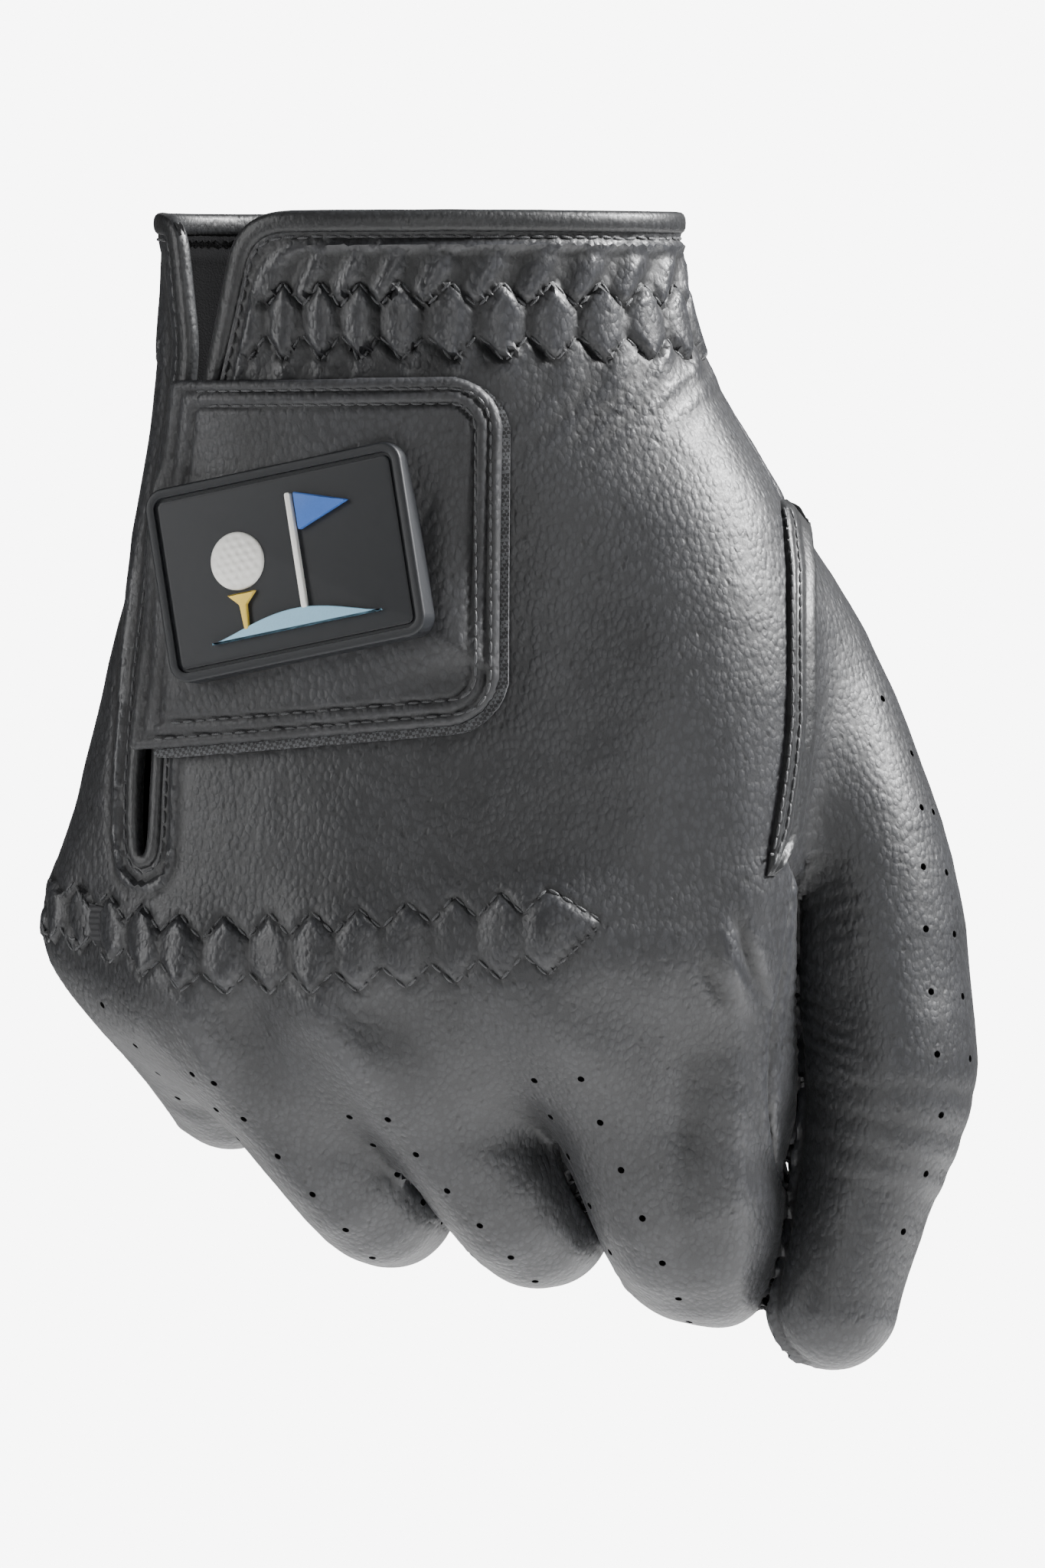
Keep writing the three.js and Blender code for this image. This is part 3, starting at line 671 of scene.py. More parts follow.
def relief(p, n, m, values):
    """How far each point of the skin moves outwards."""
    edge, thumb_side, back, thumb_back, strip = values.T
    across, through, a, b = hand_place(p)
    front = ease(0.25, -0.15, n[:, 1])
    move = cuff_relief(p, through, edge) * ease(48, 53, p[:, 2])
    move += band_relief(p, through, front) * (thumb_side < 0)
    for x, z, way, wide, long, height in KNUCKLE_FORMS:
        move += height * spot(p, x, z, way, wide, long) * front
    hand_part = ease(0.3, -0.3, thumb_side)
    seam = np.minimum(np.abs(back - strip), np.abs(back + strip))
    seam = np.where(hand_part > 0.5, seam, np.abs(thumb_back))
    move += 0.16 * bell(seam - 1.6, 0.9) - 0.5 * bell(seam, 0.5)
    move -= 0.5 * bell(thumb_side, 0.7)
    inner = ease(0, -4, m["thumb"][2]) * (1 - hand_part) * ease(-6, -10, p[:, 2])
    move += inner * (0.75 * bell(thumb_back - 0.75, 0.55) - 0.3 * bell(thumb_back - 2.1, 0.5))
    size = mix(0.7, 1.0, ease(5, 50, p[:, 2]))
    ring = edge / size
    move += 0.45 * bell(ring - 4.0, 0.65) - 0.4 * bell(ring - 3.0, 0.4) - 0.25 * bell(ring - 5.1, 0.5)
    move += wrinkles(p, m, front)
    calm = ease(0, 3, edge)
    move += calm * (0.2 * cloudy(p, 13.0) + 0.1 * cloudy(p + 40, 5.0))
    return move


fields = measure(skin)
values = seam_numbers(skin, fields)
values[:, 0], values[:, 1] = extra[:, EDGE], extra[:, THUMB_SIDE]
moves = relief(skin, normals, fields, values)
leather = skin + normals * moves[:, None]
surface_normals = point_normals(leather, faces)
# Convexity of the leather, kept as painted light on ridges and painted shade in folds of its colour.
convex = np.einsum("ij,ij->i", leather - neighbour_mean(leather, faces), surface_normals)
for _ in range(2):
    convex = mix(convex, neighbour_mean(np.stack([convex] * 3, 1), faces)[:, 0], 0.5)
painted_relief_shade = np.clip(convex * 12, -1, 1)
leather_tree = tree_of(leather, faces)
print("relief from", round(float(moves.min()), 2), "to", round(float(moves.max()), 2), "mm")

# %% [markdown]
# ## Materials
# Glove leather is sheepskin: charcoal, with fine pores in short rows, and glossier where it is stretched.
# The pores are small stretched Voronoi cells that dent the surface, over a finer noise. The mesh
# attribute that tells ridges from folds paints light on the ridges and shade into the folds of the
# leather's colour, and makes the ridges glossier.

# %% A small kit for node materials


def new_material(name, color, roughness, **sockets):
    """A plain Principled material, and its tree for adding to."""
    material = bpy.data.materials.new(name)
    material.use_nodes = True
    tree = material.node_tree
    shader = tree.nodes["Principled BSDF"]
    shader.inputs["Base Color"].default_value = (*color, 1)
    shader.inputs["Roughness"].default_value = roughness
    for socket, value in sockets.items():
        shader.inputs[socket.replace("_", " ")].default_value = value
    return material, tree, shader


def node(tree, kind, inputs=(), **settings):
    """Adds a node: settings are its properties, inputs its values or links by name or place."""
    made = tree.nodes.new(kind)
    for key, value in settings.items():
        setattr(made, key, value)
    for key, value in dict(inputs).items():
        if isinstance(value, bpy.types.NodeSocket):
            tree.links.new(value, made.inputs[key])
        else:
            made.inputs[key].default_value = value
    return made


def stretched_coordinates(tree, scale, turn=(0, 0, 0)):
    place = node(tree, "ShaderNodeTexCoord").outputs["Object"]
    return node(tree, "ShaderNodeMapping", {"Vector": place, "Scale": scale, "Rotation": turn}).outputs[0]


def ramp(tree, factor, stops):
    """A colour ramp from (place, colour) pairs."""
    made = node(tree, "ShaderNodeValToRGB", {"Fac": factor})
    elements = made.color_ramp.elements
    while len(elements) < len(stops):
        elements.new(0.5)
    for element, (place, color) in zip(elements, stops):
        element.position = place
        element.color = (*color, 1)
    return made.outputs["Color"]


def level(tree, value, low, high, to_low=0.0, to_high=1.0):
    made = node(tree, "ShaderNodeMapRange", {"Value": value, "From Min": low, "From Max": high,
                                             "To Min": to_low, "To Max": to_high})
    made.interpolation_type = "SMOOTHSTEP"
    return made.outputs["Result"]


# %% Leather


def leather_material(name, color, roughness=0.44, pore=0.0005, pore_depth=0.00005, pore_turn=(0.1, 0.2, 0.5)):
    """Pored leather: pore is the size of one cell in metres."""
    material, tree, shader = new_material(name, color, roughness, Specular_IOR_Level=0.5,
                                          Sheen_Weight=0.04, Sheen_Roughness=0.4)
    cells = stretched_coordinates(tree, (1 / pore, 1 / pore, 0.7 / pore), pore_turn)
    warp = node(tree, "ShaderNodeTexNoise", {"Vector": cells, "Scale": 0.5, "Detail": 2.0})
    bent = node(tree, "ShaderNodeMix", {"Factor": 0.35, 4: cells, 5: warp.outputs["Color"]}, data_type="VECTOR")
    grain = node(tree, "ShaderNodeTexVoronoi", {"Vector": bent.outputs[1], "Scale": 1.0, "Randomness": 0.9})
    pebble = level(tree, grain.outputs["Distance"], 0.22, 0.72, 1.0, 0.0)
    creases = node(tree, "ShaderNodeTexVoronoi", {"Vector": bent.outputs[1], "Scale": 0.42, "Randomness": 1.0})
    pit = level(tree, creases.outputs["Distance"], 0.05, 0.24)
    fine = node(tree, "ShaderNodeTexNoise", {"Vector": cells, "Scale": 2.4, "Detail": 4.0, "Roughness": 0.6})
    cloud = node(tree, "ShaderNodeTexNoise", {"Vector": stretched_coordinates(tree, (70, 70, 70)),
                                              "Scale": 1.0, "Detail": 3.0})
    painted_relief_shade = node(tree, "ShaderNodeAttribute", attribute_name="painted_relief_shade").outputs["Fac"]
    speckle = node(tree, "ShaderNodeMath", {0: level(tree, pebble, 0, 1, 0.72, 1.1),
                                            1: level(tree, pit, 0, 1, 0.5, 1.0)}, operation="MULTIPLY")
    patchy = node(tree, "ShaderNodeMath", {0: level(tree, cloud.outputs["Fac"], 0.3, 0.7, 0.84, 1.14),
                                           1: speckle.outputs[0]}, operation="MULTIPLY")
    # Painted light and shade: the base colour is made lighter on ridges and darker in folds.
    relief_shaded = node(tree, "ShaderNodeMath", {0: patchy.outputs[0], 1: level(tree, painted_relief_shade, -0.8, 0.9, 0.5, 1.5)},
                operation="MULTIPLY")
    tint = node(tree, "ShaderNodeMix", {0: 1.0, 6: (*color, 1), 7: relief_shaded.outputs[0]}, data_type="RGBA",
                blend_type="MULTIPLY")
    tree.links.new(tint.outputs[2], shader.inputs["Base Color"])
    gloss = node(tree, "ShaderNodeMath", {0: level(tree, fine.outputs["Fac"], 0.3, 0.7, -0.06, 0.08),
                                          1: level(tree, painted_relief_shade, -0.6, 0.8, roughness + 0.1, roughness - 0.07)},
                 operation="ADD")
    tree.links.new(gloss.outputs[0], shader.inputs["Roughness"])
    height = node(tree, "ShaderNodeMath", {0: fine.outputs["Fac"], 1: 0.55, 2: pebble}, operation="MULTIPLY_ADD")
    height = node(tree, "ShaderNodeMath", {0: height.outputs[0], 1: pit}, operation="ADD")
    bump = node(tree, "ShaderNodeBump", {"Height": height.outputs[0], "Strength": 0.8, "Distance": pore_depth})
    tree.links.new(bump.outputs[0], shader.inputs["Normal"])
    return material


CHARCOAL = (0.0150, 0.0155, 0.0172)
hand_leather = leather_material("charcoal leather", CHARCOAL)
# The thumb's leather is the hand's leather made darker, as painted shade on the thumb.
thumb_leather_painted_shade = leather_material("charcoal thumb leather with painted shade", (0.0100, 0.0105, 0.0120), 0.46, pore_turn=(0.2, 0.4, 1.3))
edge_leather = leather_material("binding leather", (0.010, 0.0105, 0.0115), 0.42, 0.0004, 0.00003)
tab_leather = leather_material("tab leather", (0.0160, 0.0165, 0.0185), 0.5, 0.00055, 0.00006, (0.3, 0.1, 0.9))
# The flesh side is near black as painted shade: it stands for the shade inside the glove, on inner faces and cut rims.
flesh_side_painted_shade, tree, shader = new_material("leather inside with painted shade", (0.003, 0.003, 0.0033), 0.95, Specular_IOR_Level=0.1)
nap = node(tree, "ShaderNodeTexNoise", {"Vector": stretched_coordinates(tree, (900, 900, 900)), "Detail": 4.0})
rough = node(tree, "ShaderNodeBump", {"Height": nap.outputs["Fac"], "Strength": 0.6, "Distance": 0.0003})
tree.links.new(rough.outputs[0], shader.inputs["Normal"])
thread, tree, shader = new_material("black thread", (0.020, 0.021, 0.023), 0.5, Sheen_Weight=0.2)
twist = node(tree, "ShaderNodeTexWave", {"Vector": stretched_coordinates(tree, (1, 1, 1)), "Scale": 1400.0,
                                         "Distortion": 2.0})
ply = node(tree, "ShaderNodeBump", {"Height": twist.outputs["Fac"], "Strength": 0.4, "Distance": 0.00005})
tree.links.new(ply.outputs[0], shader.inputs["Normal"])
print("materials", [m.name for m in bpy.data.materials])

# %% [markdown]
# ## Panels of leather
# The scored skin is taken apart into the back with its finger backs, the palm with its finger
# fronts, the narrow side strips between the fingers, and the two halves of the thumb. Each
# gets its inner side and its cut rim in mesh code, so that every wall is closed.

# %% Turn points and faces into a piece
MM = 0.001


def edge_loop_pairs(faces):
    """Directed edges that only one face has."""
    pairs = np.vstack([faces[:, [0, 1]], faces[:, [1, 2]], faces[:, [2, 0]]]).astype(np.int64)
    span = faces.max() + 1
    forward, backward = pairs[:, 0] * span + pairs[:, 1], pairs[:, 1] * span + pairs[:, 0]
    return pairs[~np.isin(forward, backward)]


def make_piece(name, points, polygons, materials, material_index=None, painted_relief_shade_value=None, sharp=50):
    """A mesh object from points in millimetres about the middle of the hand."""
    mesh = bpy.data.meshes.new(name)
    mesh.from_pydata(((points + FRAME_SHIFT) * MM).tolist(), [], [list(map(int, p)) for p in polygons])
    for material in materials:
        mesh.materials.append(material)
    if material_index is not None:
        mesh.polygons.foreach_set("material_index", np.asarray(material_index, np.int32))
    mesh.polygons.foreach_set("use_smooth", np.ones(len(mesh.polygons), bool))
    # Attribute of painted light on ridges and painted shade in folds, read by the leather material.
    mesh.attributes.new("painted_relief_shade", "FLOAT", "POINT")
    if painted_relief_shade_value is not None:
        mesh.attributes["painted_relief_shade"].data.foreach_set("value", np.asarray(painted_relief_shade_value, np.float32))
    mesh.update()
    mesh.set_sharp_from_angle(angle=math.radians(sharp))
    piece = bpy.data.objects.new(name, mesh)
    bpy.context.scene.collection.objects.link(piece)
    return piece


def sheet_with_thickness(points, ways, faces, thickness):
    """Closes an open sheet inwards: points, polygons, and 0 for its outside, 1 for inside and rim."""
    used, index = np.unique(faces, return_inverse=True)
    faces = index.reshape(-1, 3)
    points, ways = points[used], ways[used]
    n = len(points)
    rim = edge_loop_pairs(faces)
    walls = np.stack([rim[:, 1], rim[:, 0], rim[:, 0] + n, rim[:, 1] + n], 1)
    polygons = faces.tolist() + (faces[:, ::-1] + n).tolist() + walls.tolist()
    index = np.concatenate([np.zeros(len(faces)), np.ones(len(faces) + len(walls))])
    return np.vstack([points, points - ways * np.reshape(thickness, (-1, 1))]), polygons, index, used


face_numbers = extra[faces].mean(1)
kept = face_numbers[:, EDGE] > 0
on_thumb = face_numbers[:, THUMB_SIDE] > 0
is_back = face_numbers[:, UPPER] > 0
is_front = face_numbers[:, LOWER] < 0
PANELS = {
    "back_leather": (kept & ~on_thumb & is_back, hand_leather, "back_leather",
                     ["back_panel", "index_back", "middle_back", "ring_back", "little_back"]),
    "palm_leather": (kept & ~on_thumb & ~is_back & is_front, hand_leather, "palm_leather",
                     ["palm_panel", "index_palm", "middle_palm", "ring_palm", "little_palm"]),
    "finger_side_strips": (kept & ~on_thumb & ~is_back & ~is_front, hand_leather, "gusset_leather",
                           [n for n in frame["nodes"] if n.startswith("gusset_")]),
    "thumb_back_leather": (kept & on_thumb & (face_numbers[:, THUMB_BACK] > 0), thumb_leather_painted_shade,
                           "back_leather", ["thumb_back"]),
    "thumb_palm_leather": (kept & on_thumb & (face_numbers[:, THUMB_BACK] <= 0), thumb_leather_painted_shade,
                           "palm_leather", ["thumb_palm"]),
}
pieces = {}
for name, (mask, material, slot, nodes) in PANELS.items():
    points, polygons, index, used = sheet_with_thickness(leather, normals, faces[mask], LEATHER)
    pieces[name] = make_piece(name, points, polygons, [material, flesh_side_painted_shade], index, np.tile(painted_relief_shade[used], 2))
    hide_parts(*nodes)
    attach(pieces[name], "glove")
    print(name, len(polygons), "faces")

# %% [markdown]
# ## Bound edges
# A folded strip of leather binds the cuff and both sides of the wrist opening in one run, down
# to the rounded foot of the opening. It is swept as one closed tube along the scored edge.

# %% Sweep the binding along the edge of the leather


def follow_loop(pairs):
    """The longest closed loop of directed edges."""
    after = dict(pairs.tolist())
    best = []
    while after:
        start = next(iter(after))
        run, here = [start], after.pop(start)
        while here != start and here in after:
            run.append(here)
            here = after.pop(here)
        best = max(best, run, key=len)
    return np.array(best)


def smooth_loop(v, times):
    for _ in range(times):
        v = 0.25 * np.roll(v, 1, 0) + 0.5 * v + 0.25 * np.roll(v, -1, 0)
    return v


def even_loop(points, ways, step):
    closed = np.vstack([points, points[:1]])
    lengths = np.concatenate([[0], np.cumsum(np.linalg.norm(np.diff(closed, axis=0), axis=1))])
    at = np.linspace(0, lengths[-1], int(lengths[-1] / step), endpoint=False)
    both = np.hstack([closed, np.vstack([ways, ways[:1]])])
    both = np.stack([np.interp(at, lengths, both[:, k]) for k in range(6)], 1)
    return both[:, :3], unit(both[:, 3:])


def tube(stations, sides, ways, profile, closed=True):
    """Rings of profile (place sideways, place outwards) at each station, joined into a skin."""
    rings = stations[:, None] + sides[:, None] * profile[..., :1] + ways[:, None] * profile[..., 1:]
    count, around = rings.shape[:2]
    base = np.arange(count if closed else count - 1)[:, None] * around
    k, k1 = np.arange(around), (np.arange(around) + 1) % around
    after = (base + around) % (count * around)
    quads = np.stack([base + k, base + k1, after + k1, after + k], -1).reshape(-1, 4)
    polygons = quads.tolist()
    if not closed:
        polygons += [list(range(around))[::-1], list(range((count - 1) * around, count * around))]
    return rings.reshape(-1, 3), polygons


edges = edge_loop_pairs(faces[kept])
edges = edges[(extra[edges[:, 0], EDGE] == 0) & (extra[edges[:, 1], EDGE] == 0)]
loop = follow_loop(edges)
edge_points, edge_ways = even_loop(smooth_loop(skin[loop], 10), smooth_loop(normals[loop], 20), 0.7)
edge_points = smooth_loop(edge_points, 4)
along = unit(np.roll(edge_points, -1, 0) - np.roll(edge_points, 1, 0))
edge_ways = unit(edge_ways - along * np.sum(along * edge_ways, 1, keepdims=True))
inwards = np.cross(edge_ways, along)
ahead = edge_field(edge_points + 0.5 * inwards, hand_place(edge_points)[1])
behind = edge_field(edge_points - 0.5 * inwards, hand_place(edge_points)[1])
handed = 1 if np.mean(ahead - behind) > 0 else -1
inwards *= handed
edge_size = mix(0.7, 1.0, ease(5, 50, edge_points[:, 2]))
turns = np.linspace(0, 2 * np.pi, 16, endpoint=False)
round_x = np.sign(np.cos(turns)) * np.abs(np.cos(turns)) ** 0.8
round_y = np.sign(np.sin(turns)) * np.abs(np.sin(turns)) ** 0.8
profile = np.stack([(0.95 + 1.45 * round_x)[None] * edge_size[:, None],
                    (-0.45 + 1.12 * round_y)[None] * mix(0.8, 1, edge_size)[:, None]], -1)
points, polygons = tube(edge_points, inwards, edge_ways, profile[:, ::handed])
binding = make_piece("edge_binding", points, polygons, [edge_leather])
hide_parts("cuff_binding", "wrist_opening_binding")
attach(binding, "glove")
print("binding", round(float(np.linalg.norm(np.diff(edge_points, axis=0), axis=1).sum())), "mm long")

# %% [markdown]
# ## Seams that can be seen
# The lapped band over the root of the thumb is a narrow strip of leather with a raised free edge,
# held by two rows of stitching. It lies on the back, over the joint with the thumb.

# %% Band over the thumb seam
leather_tree = tree_of(leather, faces)


def strip_grid(rows, columns):
    """Quads of a grid that is stored row by row."""
    a = (np.arange(rows - 1)[:, None] * columns + np.arange(columns - 1)).ravel()
    return np.stack([a, a + 1, a + columns + 1, a + columns], 1)


def triangles(quads):
    return np.vstack([quads[:, [0, 1, 2]], quads[:, [0, 2, 3]]])


def facing_out(points, faces):
    """Faces turned so that their normals look towards the viewer's side."""
    n = np.cross(points[faces[:, 1]] - points[faces[:, 0]], points[faces[:, 2]] - points[faces[:, 0]])
    return faces if n[:, 1].sum() < 0 else faces[:, ::-1]


rows, columns = 190, 19
z = np.linspace(-11.0, 36.5, rows)[:, None] + np.zeros(columns)
s = np.linspace(0, 1, columns)[None] * BAND_WIDTH
narrow = mix(0.35, 1, ease(-11.5, -4, z)) * mix(0.6, 1, ease(37, 33, z))
x = thumb_line(z) + s * narrow
low_points, low_ways = front_points(smooth_tree, x.ravel(), z.ravel())
s = (s + 0 * z).ravel()
lift = 0.3 + 0.75 * np.minimum(ease(-0.25, 0.35, s), ease(BAND_WIDTH + 0.2, BAND_WIDTH - 0.5, s))
lift += 0.3 * bell(s - 2.6, 0.45) - 0.3 * bell(s - 0.7, 0.25) - 0.3 * bell(s - 1.75, 0.25)
lift += 0.06 * cloudy(low_points, 2.0)
lift *= ease(-11.6, -9.5, z.ravel()) * ease(37.2, 35, z.ravel())
band_points = low_points + low_ways * lift[:, None]
band_faces = facing_out(band_points, triangles(strip_grid(rows, columns)))
points, polygons, index, used = sheet_with_thickness(band_points, low_ways, band_faces, lift + 0.35)
seam_band = make_piece("thumb_seam_band", points, polygons, [edge_leather, edge_leather], index)
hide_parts("thumb_seam_strap")
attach(seam_band, "glove")
band_tree = tree_of(band_points, band_faces)

# %% [markdown]
# ## Closure tab with its hook pad
# The tab is sewn along the little-finger side of the opening and laps over the back of the hand.
# It is two layers of leather, so its edge is round and two rows of stitching sink into it. The
# hook pad below it peeks out at the free end, and grips a field of loops sewn on the back.

# %% Laid shapes: loops, hooks and tab
TAB = [(-42.4, 51.8), (-2.2, 52.2), (-2.2, 8.4), (-48.2, 4.4)]
HINGE_WAY = Vector((-0.131, 0.118, -0.984)).normalized()
hinge_side = Vector((0.912, -0.406, 0.0))
hinge_side = (hinge_side - HINGE_WAY * hinge_side.dot(HINGE_WAY)).normalized()


def inside_corners(x, z, corners, radii, inset=0.0):
    """Distance inwards from a convex outline with rounded corners, in the front view."""
    q = np.stack([x, z], -1)
    corners = np.array(corners, float)
    sides = [(corners[k], corners[(k + 1) % 4]) for k in range(4)]
    gaps = []
    for a, b in sides:
        way = unit(b - a)
        gaps.append((q - a) @ np.array([way[1], -way[0]]))
    gaps = np.stack(gaps) - inset
    d = gaps.min(0)
    for k, r in enumerate(radii):
        one, two = gaps[k - 1], gaps[k]
        r = max(r - inset, 0.01)
        corner = (one < r) & (two < r)
        cosine = unit(sides[k - 1][1] - sides[k - 1][0]) @ unit(sides[k][1] - sides[k][0])
        reach = np.sqrt(np.maximum(0, (r - one) ** 2 + (r - two) ** 2 - 2 * (r - one) * (r - two) * cosine))
        d = np.where(corner, np.minimum(d, r - reach), d)
    return d


def laid_sheet(corners, radii, step, bottom, top, drop=0.4):
    """A sheet that follows the back of the hand: points, faces, ways and inward distance."""
    corners_x, corners_z = np.array(corners).T
    xs = np.arange(corners_x.min() - 1, corners_x.max() + 1, step)
    zs = np.arange(corners_z.min() - 1, corners_z.max() + 1, step)
    x, z = (v.ravel() for v in np.meshgrid(xs, zs))
    places, ways = front_points(smooth_tree, x, z)
    quads = strip_grid(len(zs), len(xs))
    faces = facing_out(places, triangles(quads))
    for _ in range(8):
        ways = unit(neighbour_mean(ways, faces))
    d = inside_corners(x, z, corners, radii)
    points, extra, faces = score(places, np.hstack([ways, d[:, None]]), faces, 3)
    faces = faces[extra[faces, 3].mean(1) > 0]
    used, index = np.unique(faces, return_inverse=True)
    points, extra, faces = points[used], extra[used], index.reshape(-1, 3)
    return points, unit(extra[:, :3]), faces, inside_corners(points[:, 0], points[:, 2], corners, radii)


def grown(corners, left, top, right, bottom):
    (a, b), (c, d), (e, f), (g, h) = corners
    return [(a - left, b + top), (c + right, d + top), (e + right, f - bottom), (g - left, h - bottom)]


places, ways, sheet_faces, d = laid_sheet(grown(TAB, -3, -0.6, 0.4, 0.2), (1, 7, 6, 1), 0.8, 0, 1)
loops = places + ways * (0.75 + 0.08 * cloudy(places, 0.9))[:, None]
points, polygons, index, used = sheet_with_thickness(loops, ways, sheet_faces, 0.7)
loop_pile, tree, shader = new_material("loop pile", (0.022, 0.023, 0.025), 0.9, Sheen_Weight=0.4)
tangle = node(tree, "ShaderNodeTexVoronoi", {"Vector": stretched_coordinates(tree, (2600, 2600, 2600))})
fuzz = node(tree, "ShaderNodeBump", {"Height": tangle.outputs["Distance"], "Strength": 1.0, "Distance": 0.0003})
tree.links.new(fuzz.outputs[0], shader.inputs["Normal"])
loop_field = make_piece("loop_field", points, polygons, [loop_pile], None)
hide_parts("loop_patch")
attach(loop_field, "glove")


def hinge_blend(piece):
    """Bakes the piece's placement into its mesh."""
    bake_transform(piece)


places, ways, sheet_faces, d = laid_sheet(grown(TAB, -2.4, -0.3, 1.0, 1.0), (1, 7.4, 7.8, 1), 0.6, 0, 1)
hooks = places + ways * (1.85 + 0.16 * cloudy(places, 0.7))[:, None]
points, polygons, index, used = sheet_with_thickness(hooks, ways, sheet_faces, 0.75)
hook_weave, tree, shader = new_material("hook weave", (0.020, 0.021, 0.023), 0.7)
check = node(tree, "ShaderNodeTexChecker", {"Vector": stretched_coordinates(tree, (1, 1, 1), (0.4, 0.1, 0.78)),
                                            "Scale": 2400.0})
weave = node(tree, "ShaderNodeBump", {"Height": check.outputs["Fac"], "Strength": 1.0, "Distance": 0.00025})
tree.links.new(weave.outputs[0], shader.inputs["Normal"])
flecks = node(tree, "ShaderNodeMix", {0: check.outputs["Fac"], 6: (0.012, 0.012, 0.013, 1),
                                      7: (0.06, 0.062, 0.066, 1)}, data_type="RGBA")
tree.links.new(flecks.outputs[2], shader.inputs["Base Color"])
hook_pad = make_piece("hook_pad_weave", points, polygons, [hook_weave])
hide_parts("hook_pad")
hinge_blend(hook_pad)

# %% Badge plane and tab
BADGE_WIDTH, BADGE_HEIGHT, BADGE_CORNER = 36.1, 25.0, 2.6


def turn_z(degrees):
    c, s = math.cos(math.radians(degrees)), math.sin(math.radians(degrees))
    return np.array([[c, -s, 0], [s, c, 0], [0, 0, 1]])


def turn_x(degrees):
    c, s = math.cos(math.radians(degrees)), math.sin(math.radians(degrees))
    return np.array([[1, 0, 0], [0, c, -s], [0, s, c]])


BADGE_TURN = turn_z(-24) @ turn_x(87) @ turn_z(11)
BADGE_MIDDLE = np.array([-29.778, -15.578, 28.6])

places, ways, sheet_faces, d = laid_sheet(TAB, (0.8, 7, 7, 0.8), 0.42, 0, 1)
for _ in range(3):
    ways = unit(neighbour_mean(ways, sheet_faces))
top = 3.2 - 0.55 * np.maximum(0, 1 - d / 0.8) ** 2
top -= 0.42 * bell(d - 1.5, 0.3) + 0.42 * bell(d - 3.4, 0.3)
top += 0.1 * bell(d - 2.4, 0.6) + 0.08 * cloudy(places, 7.0) * ease(0, 5, d)
tab_points = places + ways * top[:, None]
on_badge = (tab_points - BADGE_MIDDLE) @ BADGE_TURN
under = np.maximum(np.abs(on_badge[:, 0]) - BADGE_WIDTH / 2, np.abs(on_badge[:, 1]) - BADGE_HEIGHT / 2)
heights = on_badge[:, 2][under < 0]
print("tab under the badge from", heights.min().round(2), "to", heights.max().round(2))
sink = np.maximum(0, -3.1 - on_badge[:, 2]) * ease(6, 0.0, under)
sink -= np.maximum(0, on_badge[:, 2] + 1.6) * ease(-0.3, -3.0, under)
tab_points = tab_points + sink[:, None] * BADGE_TURN[:, 2]
points, polygons, index, used = sheet_with_thickness(tab_points, ways, sheet_faces, top - 2.1)
# The tab's colour attribute holds a random tone, plus painted shade along the grooves of its two stitch rows.
tab = make_piece("closure_tab_leather", points, polygons, [tab_leather, flesh_side_painted_shade], index,
                 np.tile((0.5 * cloudy(places, 9.0) - 0.8 * bell(d - 1.5, 0.3) - 0.8 * bell(d - 3.4, 0.3))[used], 2))
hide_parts("closure_tab")
hinge_blend(tab)
tab_tree = tree_of(tab_points, sheet_faces)
print("tab", len(polygons), "faces")

# %% [markdown]
# ## Badge
# A soft rubber plate is moulded in one piece with a fine groove inside its edge. The coloured parts
# of the emblem stand a little above the plate: a flag, a ball on a tee and a strip of green.

# %% Badge and emblem


def rounded_outline(width, height, radius, inset, steps=10):
    w, h, r = width / 2 - inset, height / 2 - inset, max(radius - inset, 0.15)
    out = []
    for k, (cx, cy) in enumerate([(w - r, h - r), (r - w, h - r), (r - w, r - h), (w - r, r - h)]):
        for t in np.linspace(0, np.pi / 2, steps):
            out.append((cx + r * math.cos(t + k * np.pi / 2), cy + r * math.sin(t + k * np.pi / 2)))
    return np.array(out)


def stacked(outlines, heights):
    """A closed solid through outlines of equal count: the first is its floor, the last its top."""
    count, around = len(outlines), len(outlines[0])
    points = np.vstack([np.column_stack([o, np.full(around, h)]) for o, h in zip(outlines, heights)])
    k, k1 = np.arange(around), (np.arange(around) + 1) % around
    polygons = []
    for level in range(count - 1):
        a = level * around
        polygons += np.stack([a + k, a + k1, a + around + k1, a + around + k], 1).tolist()
    return points, polygons + [list(range(around))[::-1], list(range((count - 1) * around, count * around))]


def badge_piece(name, points, polygons, material, slot, node_name, sharp=30):
    piece = make_piece(name, BADGE_MIDDLE + points @ BADGE_TURN.T, polygons, [material], sharp=sharp)
    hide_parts(node_name)
    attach(piece, "closure_tab")
    return piece


rubber, tree, shader = new_material("badge rubber", (0.0085, 0.0095, 0.0115), 0.5, Specular_IOR_Level=0.4)
matt = node(tree, "ShaderNodeTexNoise", {"Vector": stretched_coordinates(tree, (3000, 3000, 3000)), "Detail": 2.0})
skin_bump = node(tree, "ShaderNodeBump", {"Height": matt.outputs["Fac"], "Strength": 0.25, "Distance": 0.00005})
tree.links.new(skin_bump.outputs[0], shader.inputs["Normal"])
plate_rings = [(0.3, -3.4), (0.0, -3.2), (0.0, -0.1), (0.06, 0.1), (0.2, 0.22), (0.4, 0.26), (1.05, 0.26), (1.2, 0.2),
               (1.25, 0.0), (1.3, -0.28), (1.65, -0.28), (1.7, -0.04), (1.8, 0.02), (2.0, 0.05)]
points, polygons = stacked([rounded_outline(BADGE_WIDTH, BADGE_HEIGHT, BADGE_CORNER, d) for d, _ in plate_rings],
                           [h for _, h in plate_rings])
badge_piece("badge_plate", points, polygons, rubber, "badge_rubber", "badge", 35)


